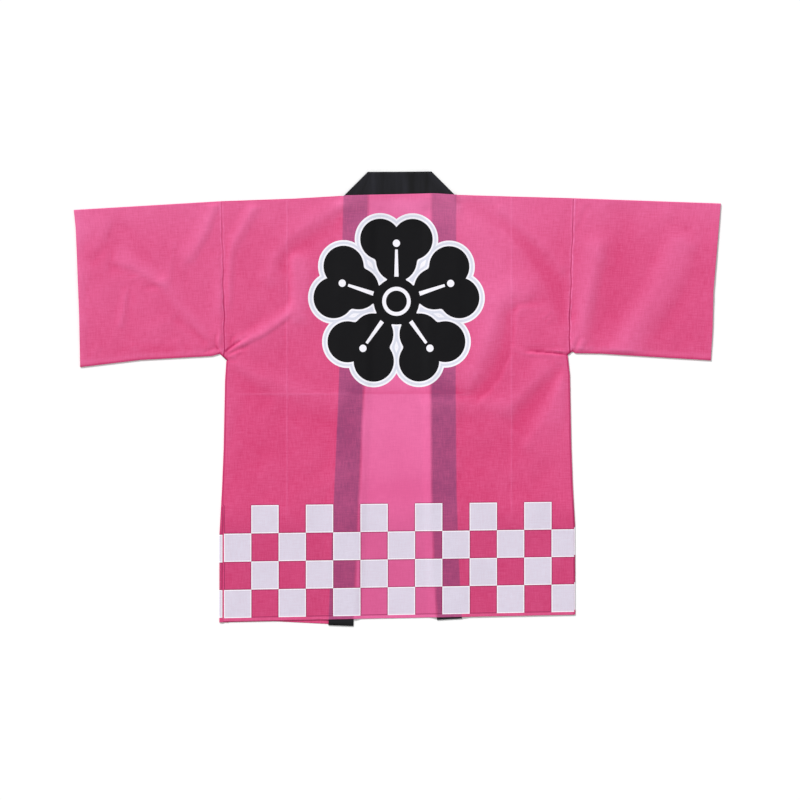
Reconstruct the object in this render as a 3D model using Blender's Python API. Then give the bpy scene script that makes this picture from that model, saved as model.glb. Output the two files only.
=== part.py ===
"""Happi coat laid out flat with its back upwards, one object for each sewn piece.

Metres, +Z up. The neck points along +Y and the floor is at z = 0. Left and right are the wearer's,
which are also the viewer's when the back is upwards. The cloth is a thin wall. The fronts and the
lower layers of the sleeves lie flat on the floor, and the back lies on the fronts and the collar.
"""

import math
from collections import namedtuple

import bmesh
import bpy
import numpy as np
from mathutils import Vector

# Cloth
WALL = 0.0010
COLLAR_WALL = 0.0016
LAYER_GAP = 0.0003
SEAM_GAP = 0.0003
HALF_SEAM = SEAM_GAP / 2
FOLD_RADIUS = (WALL + LAYER_GAP) / 2
FOLD_REACH = FOLD_RADIUS + WALL / 2
FOLD_STEPS = 5

# Heights of the cloth's middle surface, by what it rests on
ON_FLOOR = WALL / 2
ON_CLOTH = WALL + LAYER_GAP + WALL / 2
ON_COLLAR = COLLAR_WALL + LAYER_GAP + WALL / 2

# Collar: one straight doubled strip, folded over at each shoulder
COLLAR_WIDTH = 0.0455
COLLAR_RADIUS = (COLLAR_WALL + LAYER_GAP) / 2
COLLAR_FLOOR = COLLAR_WALL / 2
COLLAR_NECK = COLLAR_FLOOR + 2 * COLLAR_RADIUS
COLLAR_NECK_SAG = 0.0012
COLLAR_MARGIN = 0.0025
COLLAR_RAMP = 0.0110
COLLAR_STEP = 0.060

# The left front's side seam rolls on to the top near the hem
SEAM_LEDGE = 0.0005
ROLL_WIDTH = 0.0040
ROLL_TOP_Y = -0.165
ROLL_FULL_Y = -0.235

# Each row is a level of the body: outward distance and height of its left and right edge, the share
# of the shoulder's rise that it has, whether it lies on the neck strip, and the grid steps above it
Level = namedtuple("Level", "left_x left_y right_x right_y rise on_neck steps")
BODY = {
    "hem": Level(0.3238, -0.4045, 0.3238, -0.3921, 0.0, 0, 4),
    "skirt": Level(0.3236, -0.2450, 0.3233, -0.2300, 0.0, 0, 2),
    "flare": Level(0.3189, -0.1616, 0.3192, -0.1560, 0.0, 0, 2),
    "waist": Level(0.3160, -0.0899, 0.3167, -0.0870, 0.0, 0, 4),
    "chest": Level(0.3134, 0.0349, 0.3141, 0.0440, 0.0, 0, 1),
    "armpit": Level(0.3110, 0.0710, 0.3101, 0.0808, 0.0, 0, 1),
    "seam_low": Level(0.3165, 0.0765, 0.3145, 0.0837, 0.0, 0, 1),
    "armhole": Level(0.3145, 0.0890, 0.3128, 0.1120, 0.1, 0, 4),
    "blade": Level(0.3165, 0.2200, 0.3165, 0.2350, 0.4, 0, 4),
    "yoke": Level(0.3194, 0.3362, 0.3200, 0.3416, 0.9, 0, 1),
    "neckline": Level(0.3199, 0.3542, 0.3204, 0.3596, 1.0, 1, 1),
    "shoulder": Level(0.3200, 0.3602, 0.3205, 0.3656, 1.0, 1, 0),
}
LEVEL_NAMES = list(BODY)
ARMPIT = LEVEL_NAMES.index("armpit")
SEAM_LOW = LEVEL_NAMES.index("seam_low")

# How far the shoulder line rises above a straight line from armhole to armhole
Rise = namedtuple("Rise", "x height")
SHOULDER_RISE = (
    Rise(-0.3200, 0.0000),
    Rise(-0.1876, 0.0036),
    Rise(-0.0937, 0.0083),
    Rise(0.0000, 0.0098),
    Rise(0.0686, 0.0107),
    Rise(0.1023, 0.0082),
    Rise(0.2088, 0.0040),
    Rise(0.3205, 0.0000),
)

# Outer edges of the collar's two arms, as distances from the centre line
Arm = namedtuple("Arm", "y left right")
COLLAR_ARMS = (
    Arm(-0.4150, 0.1256, 0.1185),
    Arm(-0.3000, 0.1205, 0.1122),
    Arm(-0.1700, 0.1148, 0.1078),
    Arm(0.0330, 0.1060, 0.1063),
    Arm(0.3665, 0.0980, 0.1075),
)

# Each side of the coat: sign of its x, its sleeve's edges from the body outwards and from the
# underarm upwards, the heights of its front's hem and of its collar's end, and its roll
Side = namedtuple("Side", "name sign underarm cuff front_hem collar_end neck_fold roll")
SIDES = (
    Side(
        name="left",
        sign=-1,
        underarm=((0.3165, 0.0765), (0.3229, 0.0824), (0.3380, 0.0783), (0.4670, 0.0713), (0.5768, 0.0582)),
        cuff=((0.5768, 0.0582), (0.5784, 0.1480), (0.5830, 0.2680), (0.5850, 0.3120), (0.5884, 0.3443)),
        front_hem=(-0.4093, -0.4069),
        collar_end=-0.4111,
        neck_fold=(0.0980, 0.3668),
        roll=1.0,
    ),
    Side(
        name="right",
        sign=1,
        underarm=((0.3145, 0.0837), (0.3189, 0.0866), (0.3238, 0.0835), (0.3689, 0.0828), (0.5702, 0.0704)),
        cuff=((0.5702, 0.0704), (0.5735, 0.1330), (0.5748, 0.1949), (0.5829, 0.2900), (0.5884, 0.3560)),
        front_hem=(-0.3965, -0.3915),
        collar_end=-0.3990,
        neck_fold=(0.1065, 0.3675),
        roll=0.0,
    ),
)
SLEEVE_STEPS = 9

# Soft folds of the upper layer: a ridge from one point to another, its height and half width
Fold = namedtuple("Fold", "x1 y1 x2 y2 height half_width")
FOLDS = (
    Fold(-0.512, 0.286, -0.344, 0.099, 0.0026, 0.018),
    Fold(-0.340, 0.357, -0.371, 0.267, 0.0020, 0.016),
    Fold(-0.565, 0.262, -0.500, 0.305, 0.0016, 0.020),
    Fold(-0.294, 0.345, -0.306, 0.248, 0.0018, 0.014),
    Fold(-0.113, 0.345, -0.223, 0.272, 0.0018, 0.022),
    Fold(-0.301, 0.091, -0.203, 0.160, 0.0026, 0.014),
    Fold(-0.203, 0.160, -0.187, 0.232, 0.0024, 0.014),
    Fold(-0.301, 0.082, -0.206, 0.013, 0.0018, 0.020),
    Fold(-0.206, 0.013, -0.130, -0.011, 0.0016, 0.020),
    Fold(0.110, 0.350, 0.209, 0.293, 0.0020, 0.022),
    Fold(0.209, 0.293, 0.290, 0.180, 0.0020, 0.020),
    Fold(0.178, 0.232, 0.154, 0.122, 0.0026, 0.018),
    Fold(0.222, 0.175, 0.216, 0.060, 0.0018, 0.018),
    Fold(0.216, 0.091, 0.300, 0.079, 0.0022, 0.012),
    Fold(0.294, 0.062, 0.256, -0.051, 0.0028, 0.018),
    Fold(0.400, 0.102, 0.506, 0.272, 0.0030, 0.018),
    Fold(0.334, 0.137, 0.358, 0.262, 0.0020, 0.016),
    Fold(-0.128, -0.184, 0.110, -0.129, 0.0012, 0.030),
    Fold(-0.270, -0.120, -0.160, -0.250, 0.0012, 0.030),
)
FOLD_LIMIT = 0.0032
FOLD_TAPER = 0.020
CUFF_LIFT = 0.0012

# Finishes: linear colour, roughness and metallic of each cloth
Finish = namedtuple("Finish", "colour roughness metallic")
PINK_CLOTH = Finish((0.80, 0.11, 0.27), 0.75, 0.0)
BLACK_CLOTH = Finish((0.017, 0.017, 0.020), 0.80, 0.0)


def clear_scene():
    """Removes every object of the scene."""
    for obj in list(bpy.data.objects):
        bpy.data.objects.remove(obj)


def mix(a, b, share):
    """The value a share of the way from a to b."""
    return a + (b - a) * share


def smooth(share):
    """A smooth step from 0 to 1."""
    held = min(1.0, max(0.0, share))
    return held * held * (3 - 2 * held)


def along(points, share):
    """The point a share of the way along a polyline, by length."""
    vectors = [Vector(p) for p in points]
    lengths = [(b - a).length for a, b in zip(vectors, vectors[1:])]
    left = share * sum(lengths)
    for a, b, length in zip(vectors, vectors[1:], lengths):
        if left <= length:
            return a.lerp(b, left / length)
        left -= length
    return vectors[-1].copy()


def shoulder_rise(x):
    return float(np.interp(x, [r.x for r in SHOULDER_RISE], [r.height for r in SHOULDER_RISE]))


def collar_outer(side, y):
    """Distance of the collar arm's outer edge from the centre line at height y."""
    return float(np.interp(y, [a.y for a in COLLAR_ARMS], [getattr(a, side.name) for a in COLLAR_ARMS]))


def edge_of(level, side):
    """The body's outline point of a level on one side, as a vector with a true x."""
    x, y = (level.left_x, level.left_y) if side.sign < 0 else (level.right_x, level.right_y)
    return Vector((side.sign * x, y))


def roll_of(side, y):
    """How far the front wraps on to the top at the side seam, beyond the fold itself."""
    share = smooth((ROLL_TOP_Y - y) / (ROLL_TOP_Y - ROLL_FULL_Y))
    return SEAM_LEDGE + side.roll * ROLL_WIDTH * share


def fold_height(x, y):
    """Height that the soft folds add to the upper layer at a point."""
    total = 0.0
    point = Vector((x, y))
    for fold in FOLDS:
        start = Vector((fold.x1, fold.y1))
        line = Vector((fold.x2, fold.y2)) - start
        share = min(1.0, max(0.0, (point - start).dot(line) / line.length_squared))
        distance = (point - start - line * share).length
        total += fold.height * math.exp(-((distance / fold.half_width) ** 2))
    return FOLD_LIMIT * math.tanh(total / FOLD_LIMIT)


def neck_sag(x):
    """How far the neck strip sinks towards the floor between its two folds."""
    left, right = (side.sign * (side.neck_fold[0] - COLLAR_WIDTH) for side in SIDES)
    share = (x - left) / (right - left)
    return COLLAR_NECK_SAG * math.sin(math.pi * min(1.0, max(0.0, share))) ** 2


def on_neck_strip(x):
    """Height of cloth that lies on the collar's neck strip."""
    return COLLAR_NECK - neck_sag(x) + COLLAR_WALL / 2 + LAYER_GAP + WALL / 2


def body_levels(steps_of):
    """Levels of the body from hem to shoulder, with steps_of(level) grid steps above each one."""
    found = []
    rows = list(BODY.values())
    for number, (low, high) in enumerate(zip(rows, rows[1:])):
        steps = steps_of(low)
        for step in range(steps):
            share = step / steps
            blended = [mix(a, b, share) for a, b in zip(low, high)]
            blended[Level._fields.index("on_neck")] = low.on_neck
            found.append((number, Level(*blended)))
    found.append((len(rows) - 1, rows[-1]))
    return found


def height_on_level(level, x):
    """Height y of a level's line at x, with its share of the shoulder's rise."""
    left, right = edge_of(level, SIDES[0]), edge_of(level, SIDES[1])
    chord = mix(left.y, right.y, (x - left.x) / (right.x - left.x))
    return chord + level.rise * shoulder_rise(x)


def back_breaks(level, number):
    """(x, height) of the back's columns on a level, from the left edge to the right."""
    mid_y = (level.left_y + level.right_y) / 2
    breaks = []
    for side in SIDES:
        edge = edge_of(level, side)
        inset = HALF_SEAM if number > ARMPIT else FOLD_REACH + roll_of(side, edge.y) + SEAM_GAP
        outer = collar_outer(side, mid_y) + COLLAR_MARGIN
        inner = outer - COLLAR_WIDTH - 2 * COLLAR_MARGIN
        half = [
            (abs(edge.x) - inset, ON_CLOTH),
            (outer + COLLAR_RAMP, ON_CLOTH),
            (outer, ON_COLLAR),
            (inner, ON_COLLAR),
            (inner - COLLAR_RAMP, ON_FLOOR),
        ]
        half = [(side.sign * x, z) for x, z in half]
        breaks += half if side.sign < 0 else half[::-1]
    return breaks


BACK_STEPS = (8, 1, 2, 1, 3, 1, 2, 1, 8)


def back_row(level, number):
    """Points of one row of the back, left to right."""
    breaks = back_breaks(level, number)
    is_top = number == len(BODY) - 1
    row = []
    for index, steps in enumerate(BACK_STEPS):
        (x1, z1), (x2, z2) = breaks[index], breaks[index + 1]
        last = index == len(BACK_STEPS) - 1
        for step in range(steps + last):
            share = step / steps
            x, z = mix(x1, x2, share), mix(z1, z2, share)
            over_neck = breaks[2][0] <= x <= breaks[-3][0]
            y = height_on_level(level, x)
            if is_top and not breaks[2][0] < x < breaks[-3][0]:
                y -= FOLD_REACH + SEAM_LEDGE + SEAM_GAP
            if over_neck:
                z = mix(z, on_neck_strip(x), level.on_neck)
            row.append(Vector((x, y, z + taper_on_body(x, y) * fold_height(x, y))))
    return row


def taper_on_body(x, y):
    """Share of the folds' height that is left near the body's edges."""
    hem, top = BODY["hem"], BODY["shoulder"]
    room = min(
        hem.left_x - abs(x),
        y - height_on_level(hem, x),
        height_on_level(top, x) - y,
    )
    return smooth(room / FOLD_TAPER)


def wall_object(name, mesh_points, cells, finish, thickness):
    """A cloth piece: a middle surface of quads, thickened to both sides alike."""
    made = bmesh.new()
    vertices = {key: made.verts.new(point) for key, point in mesh_points.items()}
    for keys in cells:
        made.faces.new([vertices[key] for key in keys])
    bmesh.ops.recalc_face_normals(made, faces=made.faces)
    mesh = bpy.data.meshes.new(name)
    made.to_mesh(mesh)
    made.free()
    mesh.shade_smooth()
    obj = bpy.data.objects.new(name, mesh)
    bpy.context.scene.collection.objects.link(obj)
    wall = obj.modifiers.new("Wall", "SOLIDIFY")
    wall.thickness = thickness
    wall.offset = 0.0
    wall.use_even_offset = True
    mesh.materials.append(material(finish, name + "_cloth"))
    return obj


def material(finish, name):
    """A Principled material with the finish's colour, roughness and metallic value."""
    made = bpy.data.materials.new(name)
    made.use_nodes = True
    shader = made.node_tree.nodes["Principled BSDF"]
    shader.inputs["Base Color"].default_value = (*finish.colour, 1.0)
    shader.inputs["Roughness"].default_value = finish.roughness
    shader.inputs["Metallic"].default_value = finish.metallic
    return made


def grid_cells(columns, rows, keep=lambda column, row: True):
    """Corner keys of the cells of a grid that keep(column, row) wants."""
    return [
        [(c, r), (c + 1, r), (c + 1, r + 1), (c, r + 1)]
        for c in range(columns)
        for r in range(rows)
        if keep(c, r)
    ]


def make_back():
    """The back, one panel from hem to shoulders."""
    rows = [back_row(level, number) for number, level in body_levels(lambda level: level.steps)]
    points = {(c, r): point for r, row in enumerate(rows) for c, point in enumerate(row)}
    cells = grid_cells(len(rows[0]) - 1, len(rows) - 1)
    return wall_object("back_body", points, cells, PINK_CLOTH, WALL)


def turn(share, low, high):
    """(reach, height) on a half turn of cloth from the height low to the height high."""
    angle = math.pi * share
    return FOLD_RADIUS * math.sin(angle), mix(low, high, (1 - math.cos(angle)) / 2)


def front_inner(side, y):
    """Distance of a front's inner edge from the centre line: it clears the collar's neck fold."""
    clear = smooth((y - BODY["blade"].left_y) / (BODY["yoke"].left_y - BODY["blade"].left_y))
    return collar_outer(side, y) + mix(SEAM_GAP, COLLAR_MARGIN, clear)


def front_flat_row(side, level, number):
    """Flat points of a front's level, from the front opening to the side."""
    edge = edge_of(level, side)
    inset = HALF_SEAM if number > ARMPIT else FOLD_REACH
    inner = front_inner(side, edge.y)
    outer = abs(edge.x) - inset
    ramp = inner + COLLAR_RAMP
    distances = [inner, ramp, mix(ramp, outer, 0.5), outer]
    row = []
    for distance in distances:
        x = side.sign * distance
        y = height_on_level(level, x)
        if number == 0:
            share = (distance - inner) / (outer - inner)
            y = mix(side.front_hem[0], side.front_hem[1], share)
        if number == len(BODY) - 1:
            y -= FOLD_REACH
        row.append(Vector((x, y, ON_FLOOR)))
    return row


def make_front(side):
    """A front: flat on the floor, wrapped upwards along the side seam and over the shoulder."""
    levels = body_levels(lambda level: 1)
    points = {}
    flat = len(front_flat_row(side, levels[0][1], 0)) - 1
    wrap = FOLD_STEPS + 1
    outward = Vector((side.sign, 0.0, 0.0))
    for r, (number, level) in enumerate(levels):
        row = front_flat_row(side, level, number)
        points.update({(c, r): point for c, point in enumerate(row)})
        if number > ARMPIT:
            continue
        for step in range(1, FOLD_STEPS + 1):
            reach, z = turn(step / FOLD_STEPS, ON_FLOOR, ON_CLOTH)
            points[flat + step, r] = Vector((row[-1].x, row[-1].y, z)) + outward * reach
        ledge = Vector((row[-1].x, row[-1].y, ON_CLOTH)) - outward * roll_of(side, row[-1].y)
        points[flat + wrap, r] = ledge
    top = len(levels) - 1
    for c in range(flat + 1):
        start = points[c, top]
        high = on_neck_strip(start.x) if c == 0 else ON_CLOTH
        for step in range(1, FOLD_STEPS + 1):
            reach, z = turn(step / FOLD_STEPS, ON_FLOOR, high)
            points[c, top + step] = Vector((start.x, start.y + reach, z))
        points[c, top + wrap] = Vector((start.x, start.y - SEAM_LEDGE, high))

    def keep(column, row):
        if row < top:
            return column < flat or row + 1 <= ARMPIT
        return column < flat

    cells = grid_cells(flat + wrap, top + wrap, keep)
    return wall_object("front_" + side.name, points, cells, PINK_CLOTH, WALL)


def armhole_points(side):
    """The armhole seam from the underarm to the shoulder, a little outside the body's edge."""
    levels = list(BODY.values())[SEAM_LOW:]
    return [(side.sign * edge_of(level, side).x + HALF_SEAM, edge_of(level, side).y) for level in levels]


def armhole_shares(side):
    """Shares along the armhole at which the sleeve has its points, each seam corner among them."""
    points = [Vector(p) for p in armhole_points(side)]
    lengths = [(b - a).length for a, b in zip(points, points[1:])]
    levels = list(BODY.values())[SEAM_LOW:]
    shares, run = [], 0.0
    for level, length in zip(levels, lengths):
        shares += [(run + length * step / level.steps) / sum(lengths) for step in range(level.steps)]
        run += length
    return shares + [1.0]


def sleeve_point(side, armhole, out_share, up_share):
    """A point of the flat sleeve, blended from its four edges."""
    bottom = along(side.underarm, out_share)
    top = Vector(armhole[-1]).lerp(Vector(side.cuff[-1]), out_share)
    inner = along(armhole, up_share)
    outer = along(side.cuff, up_share)
    across = inner.lerp(outer, out_share)
    upward = bottom.lerp(top, up_share)
    low = Vector(armhole[0]).lerp(Vector(side.cuff[0]), out_share)
    corners = low.lerp(top, up_share)
    return across + upward - corners


def sleeve_ring(side, out_share):
    """Closed ring of the flattened sleeve: floor layer, shoulder fold, upper layer, underarm fold."""
    armhole = armhole_points(side)
    shares = armhole_shares(side)
    line = [sleeve_point(side, armhole, out_share, share) for share in shares]
    direction = (line[-1] - line[0]).normalized()
    line[0] = line[0] + direction * FOLD_REACH
    line[-1] = line[-1] - direction * FOLD_REACH
    length = (line[-1] - line[0]).length
    lift = CUFF_LIFT * smooth((out_share - 0.7) / 0.3)
    ring = [(p.x, p.y, ON_FLOOR) for p in line]
    for end, outward in ((line[-1], direction), (line[0], -direction)):
        folded = []
        for step in range(1, FOLD_STEPS):
            reach, z = turn(step / FOLD_STEPS, ON_FLOOR, ON_CLOTH)
            folded.append((end.x + outward.x * reach, end.y + outward.y * reach, z))
        if end == line[-1]:
            ring += folded
            for p in reversed(line):
                room = min((p - line[0]).length, (p - line[-1]).length)
                taper = smooth(room / FOLD_TAPER)
                hump = lift * math.sin(math.pi * (p - line[0]).length / length)
                z = ON_CLOTH + taper * fold_height(side.sign * p.x, p.y) + hump
                ring.append((p.x, p.y, z))
        else:
            ring += folded[::-1]
    return [Vector((side.sign * x, y, z)) for x, y, z in ring]


def make_sleeve(side):
    """A sleeve: one piece folded at the shoulder edge and closed by the underarm seam."""
    rings = [sleeve_ring(side, step / SLEEVE_STEPS) for step in range(SLEEVE_STEPS + 1)]
    count = len(rings[0])
    points = {(c, r): point for r, ring in enumerate(rings) for c, point in enumerate(ring)}
    cells = [
        [(c, r), ((c + 1) % count, r), ((c + 1) % count, r + 1), (c, r + 1)]
        for c in range(count)
        for r in range(SLEEVE_STEPS)
    ]
    return wall_object("sleeve_" + side.name, points, cells, PINK_CLOTH, WALL)


def arm_section(side, y):
    """(outer, inner) points of the collar arm whose outer edge is at height y."""
    step = COLLAR_STEP / 10
    low = Vector((side.sign * collar_outer(side, y - step), y - step))
    high = Vector((side.sign * collar_outer(side, y + step), y + step))
    upward = (high - low).normalized()
    inward = Vector((upward.y, -upward.x)) * -side.sign
    outer = Vector((side.sign * collar_outer(side, y), y))
    return outer, outer + inward * COLLAR_WIDTH


def fold_sections(side):
    """Sections of the collar's half turn at the shoulder, from the arm to the neck strip."""
    corner = Vector((side.sign * side.neck_fold[0], side.neck_fold[1]))
    line = Vector((-side.sign, 1.0)).normalized()
    outward = Vector((side.sign, 1.0)).normalized()
    length = COLLAR_WIDTH * math.sqrt(2)
    sections = []
    for step in range(FOLD_STEPS + 1):
        angle = math.pi * step / FOLD_STEPS
        reach = COLLAR_RADIUS * math.sin(angle)
        slide = COLLAR_RADIUS * (angle - math.pi / 2)
        z = COLLAR_FLOOR + COLLAR_RADIUS * (1 - math.cos(angle))
        outer = corner + outward * reach + line * slide
        inner = outer + line * length
        sections.append((outer.to_3d() + Vector((0, 0, z)), inner.to_3d() + Vector((0, 0, z))))
    return sections


def arm_sections(side):
    """Sections of a collar arm from its end at the hem up to just below the shoulder fold."""
    top = side.neck_fold[1] - COLLAR_MARGIN * 3
    count = round((top - side.collar_end) / COLLAR_STEP)
    sections = []
    for step in range(count + 1):
        pair = arm_section(side, mix(side.collar_end, top, step / count))
        sections.append(tuple(p.to_3d() + Vector((0, 0, COLLAR_FLOOR)) for p in pair))
    return sections


def neck_sections(left_end, right_end):
    """Sections of the neck strip between the two shoulder folds."""
    steps = 8
    sections = []
    for step in range(1, steps):
        share = step / steps
        pair = []
        for a, b in zip(left_end, right_end):
            inset = (b - a).normalized() * COLLAR_MARGIN
            start, end = a + inset, b - inset
            pair.append(start.lerp(end, share))
        outer_x = mix(pair[1].x, pair[0].x, 0.0)
        outer = Vector((outer_x, mix(left_end[0].y, right_end[0].y, share), 0))
        drop = Vector((0, 0, neck_sag(outer_x)))
        sections.append((outer + Vector((0, 0, pair[0].z)) - drop, pair[1] - drop))
    return sections


def make_collar():
    """The collar: one strip up the left opening edge, round the neck and down the right one."""
    left, right = SIDES
    left_fold, right_fold = fold_sections(left), fold_sections(right)
    neck = neck_sections(left_fold[-1], right_fold[-1])
    sections = arm_sections(left) + left_fold + neck + right_fold[::-1] + arm_sections(right)[::-1]
    points = {}
    for r, (outer, inner) in enumerate(sections):
        points[0, r], points[1, r], points[2, r] = outer, outer.lerp(inner, 0.5), inner
    cells = grid_cells(2, len(sections) - 1)
    return wall_object("collar_band", points, cells, BLACK_CLOTH, COLLAR_WALL)


def main():
    clear_scene()
    make_back()
    for side in SIDES:
        make_front(side)
        make_sleeve(side)
    make_collar()


main()
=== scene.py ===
"""Happi coat laid flat with its back upwards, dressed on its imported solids.

Left and right are the wearer's, which are also the viewer's when the back is upwards. Lengths are in
metres. Each sewn piece is a thin shell whose right side lies where the solid's outer face is, with its
own map in metres of cloth, so that weave and print follow the cloth round its folds.
"""

import logging
import math
from dataclasses import dataclass, field
from enum import Enum
from typing import Callable, NamedTuple

import bmesh
import bpy
import numpy as np
from mathutils import Matrix, Vector


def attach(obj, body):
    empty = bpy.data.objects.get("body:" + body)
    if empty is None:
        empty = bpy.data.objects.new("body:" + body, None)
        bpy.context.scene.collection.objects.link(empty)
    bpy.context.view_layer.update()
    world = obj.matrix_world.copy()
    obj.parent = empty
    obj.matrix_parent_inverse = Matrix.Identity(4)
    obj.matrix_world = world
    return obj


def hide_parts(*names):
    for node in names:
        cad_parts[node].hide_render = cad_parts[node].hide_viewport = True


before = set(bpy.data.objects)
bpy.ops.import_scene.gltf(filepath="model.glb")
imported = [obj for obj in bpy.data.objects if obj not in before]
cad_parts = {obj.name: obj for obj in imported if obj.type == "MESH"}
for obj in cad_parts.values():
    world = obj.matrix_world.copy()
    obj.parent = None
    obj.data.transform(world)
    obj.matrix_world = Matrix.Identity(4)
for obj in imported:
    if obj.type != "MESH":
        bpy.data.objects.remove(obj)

log = logging.getLogger("happi_coat")
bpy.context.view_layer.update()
BODY_NAME = "root"
Array = np.ndarray
# Softness of the foot of a fold's straight flanks, as a share of its height
FOOT_EASE = 0.14
# Length of a fold's flanks and of its faded ends, as shares of its width
FLANK_LENGTH = 1.6
END_LENGTH = 0.9


class Hand(Enum):
    """The wearer's side that a piece belongs to."""

    LEFT = -1
    RIGHT = 1


class Print(Enum):
    """What is printed on a piece of the pink cloth."""

    NONE = "plain"
    HEM = "hem check"
    BACK = "hem check and blossom"


class Level(NamedTuple):
    """A cross line of the body: its ends' distance from the middle and height, and its share of the rise."""

    left_x: float
    left_y: float
    right_x: float
    right_y: float
    rise: float


class Rise(NamedTuple):
    """How far the shoulder line stands above a straight one at a distance across."""

    x: float
    height: float


class Arm(NamedTuple):
    """Distance of each collar arm's outer edge from the middle at a height."""

    y: float
    left: float
    right: float


class Fold(NamedTuple):
    """A soft ridge or trough of the upper layer, with its own width to the left and the right of its run."""

    height: float
    left_width: float
    right_width: float
    run: tuple[tuple[float, float], ...]

    def share_at(self, x: Array, y: Array, tip: float) -> Array:
        """Share of the fold's height that points get.

        Args:
            x: distances across.
            y: heights on the laid coat.
            tip: roundness of its crest.

        Returns:
            1 on the crest, less beside it and past its ends.
        """
        nearest = np.full_like(x, np.inf)
        side, past = np.zeros_like(x), np.zeros_like(x)
        last = len(self.run) - 2
        for number, ((x1, y1), (x2, y2)) in enumerate(zip(self.run, self.run[1:])):
            run_x, run_y = x2 - x1, y2 - y1
            length = math.hypot(run_x, run_y)
            raw = ((x - x1) * run_x + (y - y1) * run_y) / length**2
            share = np.clip(raw, 0.0 if number else -np.inf, np.inf if number == last else 1.0)
            off_x, off_y = x - x1 - share * run_x, y - y1 - share * run_y
            over = length * np.maximum(0.0, np.maximum(-share, share - 1.0))
            far = np.hypot(off_x, off_y)
            closer = far + over < nearest
            nearest = np.where(closer, far + over, nearest)
            side = np.where(closer, far * np.sign(run_x * off_y - run_y * off_x), side)
            past = np.where(closer, over, past)
        width = np.where(side > 0, self.left_width, self.right_width)
        crest = min(tip, 0.5 * min(self.left_width, self.right_width))
        down = (np.hypot(side, crest) - crest) / (FLANK_LENGTH * width)
        flank = FOOT_EASE * np.logaddexp(0.0, (1.0 - down) / FOOT_EASE)
        end = END_LENGTH * max(self.left_width, self.right_width)
        return flank * np.exp(-((past / end) ** 2))


def folds_of(*rows: tuple) -> tuple[Fold, ...]:
    """Folds from rows of a height, two widths and the corners of a run."""
    return tuple(Fold(height, left, right, tuple(run)) for height, left, right, *run in rows)


class Patch(NamedTuple):
    """A soft patch of painted light, or painted shade where amount is below 0, with its reach across and up.
    """

    x: float
    y: float
    reach_x: float
    reach_y: float
    amount: float


class SleeveCut(NamedTuple):
    """A laid sleeve's lower edge, from the body outwards, and its cuff, from the underarm up."""

    underarm: tuple[tuple[float, float], ...]
    cuff: tuple[tuple[float, float], ...]


BODY = {
    "hem": Level(0.3238, -0.4045, 0.3238, -0.3921, 0.0),
    "skirt": Level(0.3236, -0.2450, 0.3233, -0.2300, 0.0),
    "flare": Level(0.3189, -0.1616, 0.3192, -0.1560, 0.0),
    "waist": Level(0.3160, -0.0899, 0.3167, -0.0870, 0.0),
    "chest": Level(0.3134, 0.0349, 0.3141, 0.0440, 0.0),
    "armpit": Level(0.3110, 0.0710, 0.3101, 0.0808, 0.0),
    "seam_low": Level(0.3165, 0.0765, 0.3145, 0.0837, 0.0),
    "armhole": Level(0.3145, 0.0890, 0.3128, 0.1120, 0.1),
    "blade": Level(0.3165, 0.2200, 0.3165, 0.2350, 0.4),
    "yoke": Level(0.3194, 0.3362, 0.3200, 0.3416, 0.9),
    "neckline": Level(0.3199, 0.3542, 0.3204, 0.3596, 1.0),
    "shoulder": Level(0.3200, 0.3602, 0.3205, 0.3656, 1.0),
}
SHOULDER_RISE = (
    Rise(-0.3200, 0.0000),
    Rise(-0.1876, 0.0036),
    Rise(-0.0937, 0.0083),
    Rise(0.0000, 0.0098),
    Rise(0.0686, 0.0107),
    Rise(0.1023, 0.0082),
    Rise(0.2088, 0.0040),
    Rise(0.3205, 0.0000),
)
COLLAR_ARMS = (
    Arm(-0.4150, 0.1256, 0.1185),
    Arm(-0.3000, 0.1205, 0.1122),
    Arm(-0.1700, 0.1148, 0.1078),
    Arm(0.0330, 0.1060, 0.1063),
    Arm(0.3665, 0.0980, 0.1075),
)
SLEEVES = {
    Hand.LEFT: SleeveCut(
        underarm=((0.3165, 0.0765), (0.3229, 0.0824), (0.3380, 0.0783), (0.4670, 0.0713), (0.5768, 0.0582)),
        cuff=((0.5768, 0.0582), (0.5784, 0.1480), (0.5830, 0.2680), (0.5850, 0.3120), (0.5884, 0.3443)),
    ),
    Hand.RIGHT: SleeveCut(
        underarm=((0.3145, 0.0837), (0.3189, 0.0866), (0.3238, 0.0835), (0.3689, 0.0828), (0.5702, 0.0704)),
        cuff=((0.5702, 0.0704), (0.5735, 0.1330), (0.5748, 0.1949), (0.5829, 0.2900), (0.5884, 0.3560)),
    ),
}
# Height of each front's lower edge by the collar, halfway across and at the side
FRONT_HEM = {Hand.LEFT: (-0.4090, -0.4040, -0.4060), Hand.RIGHT: (-0.3965, -0.3940, -0.3915)}
# Height of each collar arm's end, and distance and height of the corner where it turns over
COLLAR_END = {Hand.LEFT: -0.4111, Hand.RIGHT: -0.3990}
NECK_FOLD = {Hand.LEFT: (0.0980, 0.3668), Hand.RIGHT: (0.1065, 0.3675)}
# How far each front rolls on to the top along the skirt
SEAM_ROLL = {Hand.LEFT: 0.0040, Hand.RIGHT: 0.0}
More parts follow.
